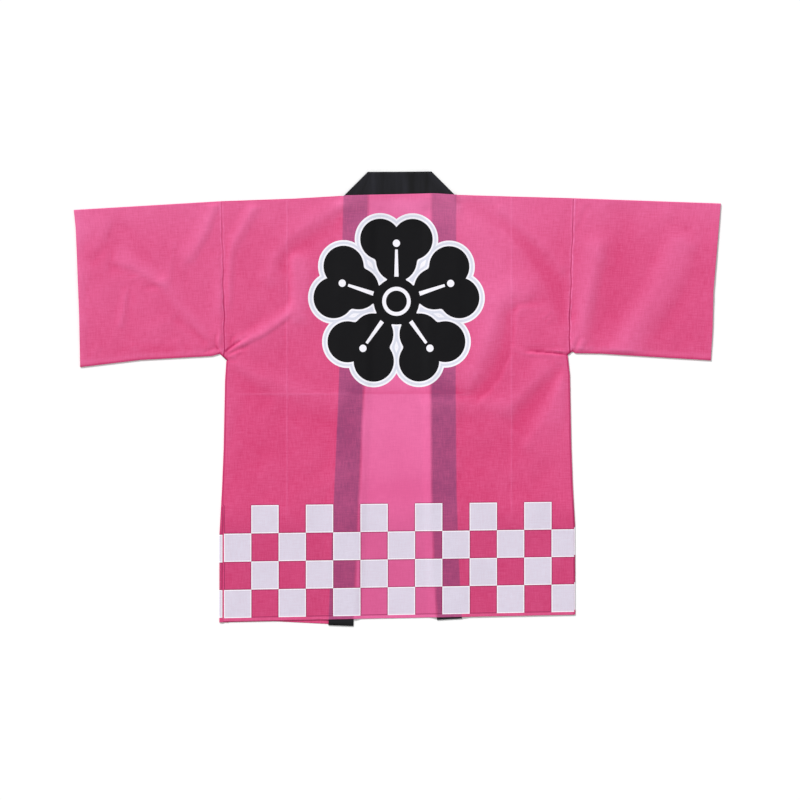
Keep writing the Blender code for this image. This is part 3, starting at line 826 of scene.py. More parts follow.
@dataclass(frozen=True)
class PinkCloth:
    """Thin plain-woven polyester and cotton, piece-dyed pink and screen printed.

    A matt cloth with a little bloom from its fibre ends. It is thin enough for the black collar to show
    through it, and it is paler where only the floor lies under it. Its colour also carries painted highlight
    on fold crests, seam ridges and pressed lines, and painted shade in troughs, seams, crease bottoms and
    turned edges.
    """

    cloth: str = "#D23F72"
    # Paler cloth; it also carries the painted highlight on fold crests, seam ridges and pressed lines
    cloth_lifted: str = "#F17EB3"
    cloth_single: str = "#E2649C"
    over_collar: str = "#984372"
    # Painted shade in seams, crease bottoms and turned edges, and the darkest painted shade, mostly along the
    # armpit edges
    painted_shade: str = "#B4255C"
    hollow_shade: str = "#5E1638"
    by_print: str = "#8C2350"
    white_ink: str = "#D8D1E1"
    border_ink: str = "#D8DAE8"
    white_ink_rim: str = "#F3F1F9"
    black_ink: str = "#08080C"
    roughness: float = 0.78
    ink_roughness: float = 0.62
    sheen: float = 0.04
    sheen_roughness: float = 0.45
    sheen_tint: str = "#FFD9E8"
    specular: float = 0.15
    relief: float = 0.00012
    # Real threads are about 0.35 mm apart, too fine for the picture, so the weave is drawn at 1.2 mm
    thread_pitch: float = 0.0012
    slub_width: float = 0.0019
    slub_length: float = 0.020
    grains_per_metre: float = 520.0
    clouds_per_metre: float = 16.0
    check: float = 0.050
    check_rows: int = 4
    rim: float = 0.0017
    blossom: Blossom = Blossom()

    def make(self, name: str, printed: Print) -> bpy.types.Material:
        """Builds the cloth's material.

        Args:
            name: name of the material.
            printed: what is printed on the piece.

        Returns:
            The material.
        """
        material, tree, shader = Finishes.begin(name)
        add, linear = Finishes.add, Finishes.linear
        cloth_map = add(tree, "UVMap", {}, uv_map="cloth_metres").outputs[0]
        split = add(tree, "SeparateXYZ", {0: cloth_map})
        known = {"u": split.outputs[0], "v": split.outputs[1]}
        # Facts of each point: paleness with painted highlight and shade, the show-through, and the painted
        # shade, which is kept under seam
        for field_name in ("lift", "single", "over_collar", "seam"):
            known[field_name] = add(tree, "Attribute", {}, attribute_name=field_name).outputs["Fac"]
        self._weave(tree, cloth_map, known)
        colour = linear(self.cloth)
        for layer, factor in (
            (self.cloth_single, "single"),
            (self.over_collar, "dark_share"),
            # The paler cloth with its painted highlight, then the painted shade and the darkest painted shade
            (self.cloth_lifted, "pale_share"),
            (self.painted_shade, "painted_shade_share"),
            (self.hollow_shade, "hollow_share"),
        ):
            mixed = {0: known[factor], 6: colour, 7: linear(layer)}
            colour = add(tree, "Mix", mixed, data_type="RGBA").outputs[2]
        ink = None
        if printed is not Print.NONE:
            colour, ink = self._hem_check(tree, known, colour)
        if printed is Print.BACK:
            colour, ink = self._blossom(tree, known, colour, ink)
        toned = add(tree, "HueSaturation", {"Color": colour, "Value": known["tone"]})
        tree.links.new(toned.outputs[0], shader.inputs["Base Color"])
        shader.inputs["Roughness"].default_value = self.roughness
        shader.inputs["Sheen Weight"].default_value = self.sheen
        shader.inputs["Sheen Roughness"].default_value = self.sheen_roughness
        shader.inputs["Sheen Tint"].default_value = linear(self.sheen_tint)
        shader.inputs["Specular IOR Level"].default_value = self.specular
        if ink is not None:
            gloss = add(tree, "MapRange", {0: ink, 3: self.roughness, 4: self.ink_roughness})
            tree.links.new(gloss.outputs[0], shader.inputs["Roughness"])
        bump = add(tree, "Bump", {"Height": known["relief"], "Strength": 0.5, "Distance": self.relief})
        tree.links.new(bump.outputs[0], shader.inputs["Normal"])
        return material

    def _weave(self, tree: bpy.types.NodeTree, cloth_map: bpy.types.NodeSocket, known: dict) -> None:
        """Adds the threads, the slubs in both directions and the cloth's uneven tone to the known values.

        Args:
            tree: the material's node tree.
            cloth_map: the places on the flat cloth.
            known: the values reckoned so far, which gain the new ones.
        """
        add = Finishes.add
        for name, scale in (
            ("warp_slub", (1 / self.slub_width, 1 / self.slub_length, 1.0)),
            ("weft_slub", (1 / self.slub_length, 1 / self.slub_width, 1.0)),
            ("grain", (self.grains_per_metre, self.grains_per_metre, 1.0)),
            ("cloud", (self.clouds_per_metre, self.clouds_per_metre, 1.0)),
        ):
            placed = add(tree, "Mapping", {0: cloth_map, 3: scale}, vector_type="POINT")
            noise = add(tree, "TexNoise", {"Vector": placed.outputs[0], "Scale": 1.0, "Detail": 2.0})
            known[name] = noise.outputs[0]
        turn = 2 * math.pi / self.thread_pitch
        Finishes.reckon(
            tree,
            known,
            (
                ("warp_turn", "MULTIPLY", "u", turn),
                ("weft_turn", "MULTIPLY", "v", turn),
                ("warp", "SINE", "warp_turn"),
                ("weft", "SINE", "weft_turn"),
                ("weave", "MULTIPLY", "warp", "weft"),
                ("slubs", "ADD", "warp_slub", "weft_slub"),
                ("fine_grain", "MULTIPLY_ADD", "grain", 0.6, 0.2),
                ("threads", "ADD", "slubs", "fine_grain"),
                ("relief", "MULTIPLY_ADD", "threads", 1.6, "weave"),
                ("slub_tone", "MULTIPLY_ADD", "threads", 0.06, 0.91),
                ("cloud_tone", "MULTIPLY_ADD", "cloud", 0.06, -0.03),
                ("tone", "ADD", "slub_tone", "cloud_tone"),
                ("lift_cloud", "MULTIPLY_ADD", "cloud", 0.08, -0.04),
                ("lift_threads", "MULTIPLY_ADD", "threads", 0.34, -0.51),
                ("lift_mottle", "ADD", "lift_cloud", "lift_threads"),
                # Share of the paler cloth with its painted highlight and shade, and the weave's mottle
                ("pale_raw", "ADD", "lift", "lift_mottle"),
                ("pale_low", "MAXIMUM", "pale_raw", 0.0),
                ("pale_full", "MINIMUM", "pale_low", 0.9),
                ("dark_edge", "MULTIPLY_ADD", "over_collar", 420.0, 0.5),
                ("dark_low", "MAXIMUM", "dark_edge", 0.0),
                ("dark_full", "MINIMUM", "dark_low", 1.0),
                ("pale_part", "MULTIPLY_ADD", "dark_full", -0.38, 1.0),
                ("pale_share", "MULTIPLY", "pale_full", "pale_part"),
                ("dark_mottle", "MULTIPLY_ADD", "threads", -0.30, 1.50),
                ("dark_cloud", "MULTIPLY_ADD", "cloud", -0.25, "dark_mottle"),
                ("dark_share", "MULTIPLY", "dark_full", "dark_cloud"),
                # Share of the painted shade; past 1 it turns into the darkest painted shade
                ("painted_shade_raw", "MULTIPLY", "seam", 0.9),
                ("painted_shade_share", "MINIMUM", "painted_shade_raw", 1.0),
                ("hollow_raw", "ADD", "seam", -1.0),
                ("hollow_share", "MAXIMUM", "hollow_raw", 0.0),
            ),
        )

    def _hem_check(
        self, tree: bpy.types.NodeTree, known: dict, colour: bpy.types.NodeSocket
    ) -> tuple[bpy.types.NodeSocket, bpy.types.NodeSocket]:
        """Prints rows of white squares above the hem.

        Args:
            tree: the material's node tree.
            known: the values reckoned so far.
            colour: the cloth's colour.

        Returns:
            The colour with the print, and how much of it is ink.
        """
        Finishes.reckon(
            tree,
            known,
            (
                ("across", "DIVIDE", "u", self.check),
                ("upward", "DIVIDE", "v", self.check),
                ("column", "FLOOR", "across"),
                ("row", "FLOOR", "upward"),
                ("cells", "ADD", "column", "row"),
                ("half_cells", "MULTIPLY", "cells", 0.5),
                ("odd_part", "FRACT", "half_cells"),
                ("even_cell", "LESS_THAN", "odd_part", 0.25),
                ("above_hem", "GREATER_THAN", "upward", 0.0),
                ("below_top", "LESS_THAN", "upward", float(self.check_rows)),
                ("past_seam", "GREATER_THAN", "across", 0.0),
                ("in_rows", "MULTIPLY", "above_hem", "below_top"),
                ("in_print", "MULTIPLY", "in_rows", "past_seam"),
                ("square", "MULTIPLY", "even_cell", "in_print"),
                ("to_column", "PINGPONG", "across", 0.5),
                ("to_row", "PINGPONG", "upward", 0.5),
                ("to_edge", "MINIMUM", "to_column", "to_row"),
                ("on_rim", "LESS_THAN", "to_edge", self.rim / self.check),
                ("beside", "LESS_THAN", "to_column", self.rim / self.check),
                ("over_or_under", "LESS_THAN", "to_row", self.rim / self.check),
                ("from_top", "ADD", "upward", -float(self.check_rows)),
                ("off_top", "ABSOLUTE", "from_top"),
                ("clear_of_top", "GREATER_THAN", "off_top", 0.5),
                ("between_rows", "MULTIPLY", "over_or_under", "clear_of_top"),
                ("edged", "MAXIMUM", "beside", "between_rows"),
                ("edged_here", "MULTIPLY", "edged", "in_print"),
                ("just_above", "LESS_THAN", "off_top", self.rim / self.check),
                ("odd_cell", "SUBTRACT", 1.0, "even_cell"),
                ("above_white", "MULTIPLY", "just_above", "odd_cell"),
                ("past_top", "GREATER_THAN", "from_top", 0.0),
                ("capped", "MULTIPLY", "above_white", "past_top"),
                ("soaked_edge", "MAXIMUM", "edged_here", "capped"),
                ("soaked_depth", "MULTIPLY", "from_top", -0.18),
                ("soaked_low", "MINIMUM", "soaked_depth", 0.18),
                ("soaked_rows", "MULTIPLY", "soaked_low", "in_print"),
                ("soaked_here", "MULTIPLY_ADD", "soaked_edge", 0.55, "soaked_rows"),
                ("cover_raw", "MULTIPLY_ADD", "threads", 0.13, 0.785),
                ("cover", "MINIMUM", "cover_raw", 1.0),
                ("inked", "MULTIPLY", "square", "cover"),
            ),
        )
        add, linear = Finishes.add, Finishes.linear
        beside = {0: known["soaked_here"], 6: colour, 7: linear(self.by_print)}
        colour = add(tree, "Mix", beside, data_type="RGBA").outputs[2]
        white = add(
            tree,
            "Mix",
            {0: known["on_rim"], 6: linear(self.white_ink), 7: linear(self.white_ink_rim)},
            data_type="RGBA",
        )
        mixed = add(tree, "Mix", {0: known["inked"], 6: colour, 7: white.outputs[2]}, data_type="RGBA")
        return mixed.outputs[2], known["square"]

    def _blossom(
        self, tree: bpy.types.NodeTree, known: dict, colour: bpy.types.NodeSocket, ink: bpy.types.NodeSocket
    ) -> tuple[bpy.types.NodeSocket, bpy.types.NodeSocket]:
        """Prints the blossom in black, with a white border, between the shoulders.

        Args:
            tree: the material's node tree.
            known: the values reckoned so far.
            colour: the cloth's colour.
            ink: how much of it is ink already.

        Returns:
            The colour with the print, and how much of it is ink.
        """
        known["ink"] = ink
        Finishes.reckon(tree, known, self.blossom.steps())
        add, linear = Finishes.add, Finishes.linear
        white = add(
            tree,
            "Mix",
            {0: known["border_rim"], 6: linear(self.border_ink), 7: linear(self.white_ink_rim)},
            data_type="RGBA",
        )
        for layer, factor in ((white.outputs[2], "is_print"), (linear(self.black_ink), "is_black")):
            mixed = {0: known[factor], 6: colour, 7: layer}
            colour = add(tree, "Mix", mixed, data_type="RGBA").outputs[2]
        return colour, known["ink_all"]


@dataclass(frozen=True)
class BlackCloth:
    """Black plain-woven cotton, doubled for the collar.

    Matt and almost without colour, with paler bluish bands across it.
    """

    cloth: str = "#131315"
    band: str = "#232329"
    roughness: float = 0.85
    # Real threads are about 0.4 mm apart, too fine for the picture, so the weave is drawn at 1.4 mm
    thread_pitch: float = 0.0014
    band_width: float = 0.018
    bands_across: float = 6.0
    sheen: float = 0.04
    specular: float = 0.2
    relief: float = 0.00012

    def make(self, name: str) -> bpy.types.Material:
        """Builds the collar's material.

        Args:
            name: name of the material.

        Returns:
            The material.
        """
        material, tree, shader = Finishes.begin(name)
        add, linear = Finishes.add, Finishes.linear
        cloth_map = add(tree, "UVMap", {}, uv_map="cloth_metres").outputs[0]
        split = add(tree, "SeparateXYZ", {0: cloth_map})
        scale = (self.bands_across, 1 / self.band_width, 1.0)
        placed = add(tree, "Mapping", {0: cloth_map, 3: scale}, vector_type="POINT")
        bands = add(tree, "TexNoise", {"Vector": placed.outputs[0], "Scale": 1.0, "Detail": 3.0})
        turn = 2 * math.pi / self.thread_pitch
        known = {"u": split.outputs[0], "v": split.outputs[1], "bands": bands.outputs[0]}
        Finishes.reckon(
            tree,
            known,
            (
                ("warp_turn", "MULTIPLY", "v", turn),
                ("weft_turn", "MULTIPLY", "u", turn),
                ("warp", "SINE", "warp_turn"),
                ("weft", "SINE", "weft_turn"),
                ("weave", "MULTIPLY", "warp", "weft"),
                ("band_wide", "MULTIPLY_ADD", "bands", 3.2, -1.15),
                ("band_low", "MAXIMUM", "band_wide", 0.0),
                ("band_share", "MINIMUM", "band_low", 1.0),
            ),
        )
        colour = add(
            tree,
            "Mix",
            {0: known["band_share"], 6: linear(self.cloth), 7: linear(self.band)},
            data_type="RGBA",
        )
        tree.links.new(colour.outputs[2], shader.inputs["Base Color"])
        shader.inputs["Roughness"].default_value = self.roughness
        shader.inputs["Specular IOR Level"].default_value = self.specular
        shader.inputs["Sheen Weight"].default_value = self.sheen
        bump = add(tree, "Bump", {"Height": known["weave"], "Strength": 0.5, "Distance": self.relief})
        tree.links.new(bump.outputs[0], shader.inputs["Normal"])
        return material


@dataclass(frozen=True)
class Thread:
    """Spun polyester sewing thread, with a faint shine and a twist that is too fine to draw."""

    colour: str = "#D9508C"
    roughness: float = 0.55
    fuzz_per_metre: float = 900.0
    fuzz_range: tuple[float, float] = (0.85, 1.12)

    def make(self, name: str) -> bpy.types.Material:
        """Builds the thread's material.

        Args:
            name: name of the material.

        Returns:
            The material.
        """
        material, tree, shader = Finishes.begin(name)
        add, linear = Finishes.add, Finishes.linear
        place = add(tree, "TexCoord", {}).outputs["Object"]
        fuzz = add(tree, "TexNoise", {"Vector": place, "Scale": self.fuzz_per_metre, "Detail": 1.0})
        shade = add(tree, "MapRange", {0: fuzz.outputs[0], 3: self.fuzz_range[0], 4: self.fuzz_range[1]})
        toned = add(tree, "HueSaturation", {"Color": linear(self.colour), "Value": shade.outputs[0]})
        tree.links.new(toned.outputs[0], shader.inputs["Base Color"])
        shader.inputs["Roughness"].default_value = self.roughness
        return material


class Laid(NamedTuple):
    """Where a grid's points go: their places, their cloth map and the facts that their finish reads."""

    place: Array
    cloth_map: Array
    facts: dict[str, Array]


def placed(name: str, shape: bmesh.types.BMesh, material: bpy.types.Material) -> bpy.types.Object:
    """Turns a finished bmesh into an object of the scene.

    Args:
        name: name of the object.
        shape: its form, which is freed.
        material: its finish.

    Returns:
        The object.
    """
    mesh = bpy.data.meshes.new(name)
    shape.to_mesh(mesh)
    shape.free()
    mesh.materials.append(material)
    piece = bpy.data.objects.new(name, mesh)
    bpy.context.scene.collection.objects.link(piece)
    return piece


def cloth_from_grid(
    name: str,
    material: bpy.types.Material,
    size: tuple[int, int],
    lay: Callable[[Array, Array], Laid],
    faces_up: bool,
    keep: Callable[[int, int], bool] | None = None,
    closed: bool = False,
) -> bpy.types.Object:
    """Makes a cloth piece from a flat grid that is laid over its form and given its wall.

    Args:
        name: name of the piece.
        material: its finish.
        size: numbers of the grid's columns and rows of points.
        lay: gives the place, map and facts of points from their column and row numbers.
        faces_up: whether the outer face of the widest cell, or else of the lowest, looks up.
        keep: whether a cell stays, from the column and row of its lowest corner.
        closed: whether the first column and the last are the same line.

    Returns:
        The piece, with its wall as a live modifier.
    """
    across, up = size
    grid = bmesh.new()
    bmesh.ops.create_grid(grid, x_segments=across - 1, y_segments=up - 1, size=0.5)
    flat = np.array([v.co[:2] for v in grid.verts])
    column = np.rint((flat[:, 0] + 0.5) * (across - 1)).astype(int)
    row = np.rint((flat[:, 1] + 0.5) * (up - 1)).astype(int)
    laid = lay(column, row)
    uv_layer = grid.loops.layers.uv.new("cloth_metres")
    layers = {key: grid.verts.layers.float.new(key) for key in laid.facts}
    for face in grid.faces:
        for loop in face.loops:
            loop[uv_layer].uv = laid.cloth_map[loop.vert.index]
    for vert, place in zip(grid.verts, laid.place.tolist()):
        vert.co = place
    for key, layer in layers.items():
        for vert, value in zip(grid.verts, laid.facts[key].tolist()):
            vert[layer] = value
    if keep is not None:
        lost = [f for f in grid.faces if not keep(*(min(a[v.index] for v in f.verts) for a in (column, row)))]
        bmesh.ops.delete(grid, geom=lost, context="FACES")
    for face in grid.faces:
        face.normal_update()
        face.smooth = True
    if faces_up:
        sample = max(grid.faces, key=lambda f: f.calc_area())
    else:
        sample = min(grid.faces, key=lambda f: min(v.co.z for v in f.verts))
    if (sample.normal.z > 0) != faces_up:
        bmesh.ops.reverse_faces(grid, faces=grid.faces)
    if closed:
        bmesh.ops.remove_doubles(grid, verts=grid.verts, dist=1e-6)
    piece = placed(name, grid, material)
    wall = piece.modifiers.new("Wall", "SOLIDIFY")
    wall.thickness = FORM.wall
    wall.offset = -1.0
    wall.use_even_offset = False
    return piece


def cut_area(piece: bpy.types.Object) -> float:
    """The flat area of a piece's cloth, from its laid surface before its wall."""
    return float(sum(p.area for p in piece.data.polygons))


def half_turn(share: Array, high: Array | float) -> tuple[Array, Array]:
    """Reach and height on a half turn of cloth that starts on the floor.

    Args:
        share: shares of the half turn.
        high: height where it ends.

    Returns:
        The reach beyond the turn's start, and the height.
    """
    angle = np.pi * share
    return FORM.edge_radius * np.sin(angle), high * (1 - np.cos(angle)) / 2


UPWARDS = np.array((0.0, 0.0, 1.0))


@dataclass(frozen=True)
class Stitching:
    """Rows of machine stitches, half sunk in the cloth."""

    # Real stitches are about 2.5 mm apart; their thread is drawn a little thicker, so that it shows
    pitch: float = 0.0027
    length: float = 0.0020
    thickness: float = 0.00045
    sunk: float = 0.00013
    look_ahead: float = 0.001

    def build(
        self, name: str, thread: bpy.types.Material, rows: list[tuple[Array, Array]]
    ) -> bpy.types.Object:
        """Sews each row along its line.

        Args:
            name: name of the piece.
            thread: its finish.
            rows: each row's points on the cloth's outer face, and the outward normal or normals there.

        Returns:
            The stitches as one piece.
        """
        bed = bmesh.new()
        size = Matrix.Diagonal((self.length / 2, self.thickness / 2, self.thickness / 2))
        for line, outward in rows:
            run = np.concatenate([[0.0], np.cumsum(np.linalg.norm(np.diff(line, axis=0), axis=1))])
            normals = np.broadcast_to(outward, line.shape)
            for at in np.arange(self.pitch, run[-1] - self.pitch, self.pitch):
                middle, ahead, facing = (
                    Vector([np.interp(at + further, run, values[:, k]) for k in range(3)])
                    for further, values in ((0.0, line), (self.look_ahead, line), (0.0, normals))
                )
                along_row = (ahead - middle).normalized()
                facing = facing.normalized()
                axes = Matrix((along_row, facing.cross(along_row).normalized(), facing)).transposed()
                place = Matrix.Translation(middle - facing * self.sunk) @ (axes @ size).to_4x4()
                bmesh.ops.create_icosphere(bed, subdivisions=1, radius=1.0, matrix=place)
        for face in bed.faces:
            face.smooth = True
        return placed(name, bed, thread)


@dataclass
class BackPanel:
    """The back: one panel from the hem to the shoulders, printed on its right side.

    A row of columns or rows says where a span of the grid ends, and how far apart its lines are.
    """

    width: float = 0.640
    length: float = 0.770
    flat: tuple[float, float] = (0.648, 0.778)
    columns: tuple[tuple[float, float], ...] = (
        (0.0008, 0.0008), (0.0300, 0.0013), (0.0560, 0.0022), (0.1100, 0.0032), (0.1260, 0.0013),
        (0.1420, 0.0024), (0.4900, 0.0052), (0.5190, 0.0030), (0.5360, 0.0013), (0.5900, 0.0029),
        (0.6100, 0.0022), (0.6392, 0.0013),
    )
    rows: tuple[tuple[float, float], ...] = (
        (0.0008, 0.0008), (0.0072, 0.0016), (0.2400, 0.0085), (0.4060, 0.0044), (0.4220, 0.0015),
        (0.4300, 0.0027), (0.4640, 0.0024), (0.4740, 0.0015), (0.4920, 0.0010), (0.4980, 0.0015),
        (0.5500, 0.0024), (0.7400, 0.0039), (0.7640, 0.0024), (0.7692, 0.0013),
    )
    # Edges: the dip into a seam, the doubled hem and its stitches, and the fall to the floor
    edge_dip: Ramp = Ramp(0.0, 0.0022)
    edge_dip_depth: float = 0.00016
    fold_margin: Ramp = Ramp(0.0, 0.016)
    hem_fold: float = 0.0052
    hem_ease: float = 0.0012
    hem_stitch: float = 0.0040
    hem_rise: float = 0.0003
    hem_fall: Ramp = Ramp(0.0, 0.010)
    hem_sink: float = 0.0007
    armpit_sink: float = 0.0008
    edge_lift: float = 0.0003
    edge_clear: Ramp = Ramp(0.009, 0.004)
    floor_ease: float = 0.00020
    # The shoulder line, and the neck edge, which climbs on to the collar
    shoulder: Ramp = Ramp(0.0, 0.004)
    top_turn: Ramp = Ramp(0.97, 0.03)
    neck_flat: tuple[float, float] = (0.006, 0.002)
    neck_reach: tuple[float, float] = (0.028, 0.027)
    # Painted shade where the back turns over at the neck edge
    neck_turn_shade: Ramp = Ramp(-0.014, 0.010)
    # The printed check's own pitch and start, and the slopes of its lower and upper edges
    check: float = 0.050
    check_pitch: float = 0.04964
    check_start: float = 0.3152
    check_left: float = -0.2663
    check_low: tuple[float, float] = (-0.3974, 0.01821)
    check_high: tuple[float, float] = (-0.1931, 0.01142)
    # Lines pressed in when the coat was folded to be packed
    creases: tuple[float, ...] = (-0.2009, 0.2075)
    crease_width: float = 0.0013
    crease_height: float = 0.00026
    crease_foot: Ramp = Ramp(-0.24, 0.06)
    cross_crease: Bell = Bell(0.0095, 0.0020, 0.00022)
    cross_ends: tuple[Ramp, Ramp] = (Ramp(0.15, -0.04), Ramp(-0.30, 0.03))
    cross_middle: tuple[Ramp, Ramp] = (Ramp(-0.095, 0.02), Ramp(0.135, -0.04))
    cross_fade: float = 0.8
    # How far the painted shade above the cross line reaches
    above_cross: float = 0.009
    # Tone: where only the floor lies under the cloth, where the collar's arms meet the shoulder, and painted
    # highlight along the hem
    floor_tone: Ramp = Ramp(-0.001, 0.003)
    floor_paler: Bell = Bell(-0.03, 0.09, 0.22)
    near_arm: Bell = Bell(0.083, 0.030, 0.22)
    near_top: Ramp = Ramp(0.338, 0.018)
    hem_painted_highlight: float = 0.14
    across: Array = field(init=False, repr=False)
    up: Array = field(init=False, repr=False)

    def __post_init__(self) -> None:
        """Works out the grid's lines."""
        self.across = stops(self.width, self.columns)
        self.up = stops(self.length, self.rows, (self.hem_stitch,))

    def cloth_map(self, x: Array, y: Array) -> Array:
        """Places on the flat cloth, from the lower left corner of the printed check.

        Args:
            x: distances across.
            y: heights on the laid coat.

        Returns:
            One row of metres across and up for each point.
        """
        far = x - self.check_left
        low, high = (start + slope * far for start, slope in (self.check_low, self.check_high))
        rows_high = PinkCloth.check_rows * self.check
        u = (x + self.check_start) * self.check / self.check_pitch
        return np.stack([u, (y - low) / (high - low) * rows_high], -1)

    def sides(self, up: Array) -> list[Array]:
        """Where the back's left and right edges lie.

        Args:
            up: shares of the way up.

        Returns:
            Their distances across, the left one first.
        """
        armpit = FORM.share_of("armpit") + 1e-6
        ends = []
        for hand in Hand:
            edge_x, edge_y = FORM.edge(hand, up)
            sewn = FORM.edge_radius + FORM.roll(hand, edge_y) + FORM.half_seam
            ends.append(hand.value * (edge_x - np.where(up > armpit, FORM.half_seam, sewn)))
        return ends

    def pressed(self, x: Array, y: Array) -> tuple[Array, Array]:
        """Lines that packing has pressed into the cloth.

        Args:
            x: distances across.
            y: heights on the laid coat.

        Returns:
            Their height, and the share of painted shade on the cloth above the cross line.
        """
        height = np.zeros_like(x)
        for crease in self.creases:
            height += Bell(crease, self.crease_width, self.crease_height).at(x) * self.crease_foot.at(y)
        ends = self.cross_ends[0].at(x) * self.cross_ends[1].at(x)
        middle = self.cross_middle[0].at(x) * self.cross_middle[1].at(x)
        height += self.cross_crease.at(y) * ends * (1 - self.cross_fade * middle)
        above = y - self.cross_crease.middle
        step = smooth(above / self.cross_crease.width + 0.5)
        return height, middle * step * np.exp(-np.maximum(above, 0.0) / self.above_cross)

    def lay(self, column: Array, row: Array) -> Laid:
        """Lays the back over the fronts, the collar and the floor.

        Args:
            column: column numbers of the grid's points.
            row: their row numbers.

        Returns:
            The points' places, cloth map and facts.
        """
        across, up = self.across[column], self.up[row]
        left, right = self.sides(up)
        x = left + (right - left) * across
        y = FORM.height_at(up, x)
        beyond = FORM.beyond_arm(x, y)
        off_shoulder = 1 - self.shoulder.at(beyond)
        lower = FORM.edge_radius + FORM.seam_ledge + FORM.half_seam
        y = y - self.top_turn.at(up) * self.shoulder.at(beyond) * lower
        top_edge = FORM.height_at(np.ones_like(x), x)
        hem_edge = FORM.height_at(np.zeros_like(x), x)
        side = np.minimum(x - left, right - x)
        room = np.minimum(side, np.minimum(y - hem_edge, top_edge - y))

        base = FORM.body_base(x, y)
        inside = FORM.in_gap(beyond)
        flat, reach = (near + more * inside for near, more in (self.neck_flat, self.neck_reach))
        by_neck = smooth(1 - (top_edge - y - flat) / reach) * off_shoulder
        base = base + (FORM.neck_height(x) - base) * by_neck
        folds = FORM.fold_height(x, y) * self.fold_margin.at(room)
        dip = self.edge_dip_depth * (1 - self.edge_dip.at(side))
        hem = self.hem_rise * (1 - smooth((y - hem_edge - self.hem_fold) / self.hem_ease))
        pressed, painted_shade_above = self.pressed(x, y)
        slanted = np.maximum(*(FORM.by_armpit(hand, hand.value * x, y) for hand in Hand))
        by_seam = (up > FORM.share_of("armpit") + 1e-6) * FORM.seam_puff(side, y) * (1 - slanted)
        edge_sink = self.hem_sink * (1 - self.hem_fall.at(y - hem_edge)) + self.armpit_sink * slanted
        z = base + folds - dip + hem + pressed + by_seam - edge_sink
        lowest = FORM.lowest(base) + self.edge_lift * (1 - self.edge_clear.at(room))
        z = lowest + self.floor_ease * np.logaddexp(0.0, (z - lowest) / self.floor_ease)

        # Painted shade where the back turns over at the neck edge
        neck_turn_shade = self.neck_turn_shade.at(y - top_edge) * off_shoulder
        single = self.floor_tone.at(-beyond - FORM.collar_width)
        lift = FORM.lift(x, y, folds) + self.paler(x, y)
        # Painted highlight on the pressed lines and on the ridges beside the seams; painted shade at the neck
        # turn and above the cross line
        lift += 0.16 * np.minimum(pressed / self.cross_crease.amount, 1.0) + 0.5 * by_seam / 0.0004
        lift += self.floor_paler.at(y) * single - 0.10 * neck_turn_shade - 0.30 * painted_shade_above
        # Painted shade along the seams, along the slanting armpit edges and in the deepest creases; the
        # show-through is also dimmed by the painted shade at the neck turn and above the cross line
        seam_shade_line = Bell(0.0, 0.0012).at(side) * FORM.seam_shade_strength(y)
        facts = {
            "lift": lift,
            "single": single * 0.85 * (1 - 0.4 * neck_turn_shade - 0.35 * painted_shade_above),
            "over_collar": np.minimum(-beyond, 0.40 * (beyond + FORM.collar_width)),
            "seam": np.maximum(np.maximum(seam_shade_line, 1.7 * slanted), FORM.hollow(x, y)),
        }
        return Laid(np.stack([x, y, z], -1), self.cloth_map(x, y), facts)

    def paler(self, x: Array, y: Array) -> Array:
        """How much paler the cloth is on the collar arms below the shoulder, and the painted highlight along
        the doubled hem.

        Args:
            x: distances across.
            y: heights on the laid coat.

        Returns:
            What each point's share of the pale colour gains.
        """
        above_hem = y - FORM.height_at(np.zeros_like(x), x)
        along_hem = self.hem_painted_highlight * (1 - smooth((above_hem - self.hem_fold) / self.hem_ease))
        return self.near_arm.at(np.abs(x)) * self.near_top.at(y) + along_hem

    def build(self, cloth: bpy.types.Material, thread: bpy.types.Material) -> tuple[bpy.types.Object, ...]:
        """Builds the back with its hem stitches.

        Args:
            cloth: the finish of the cloth.
            thread: the finish of the stitches.

        Returns:
            The cloth piece and its stitches.
        """
        size = (len(self.across), len(self.up))
        piece = cloth_from_grid("back_cloth", cloth, size, self.lay, faces_up=True)
        columns = np.arange(len(self.across))
        row = nearest(self.up * self.length, self.hem_stitch)
        hem = self.lay(columns, np.full(len(columns), row)).place
        return piece, Stitching().build("back_stitches", thread, [(hem, UPWARDS)])


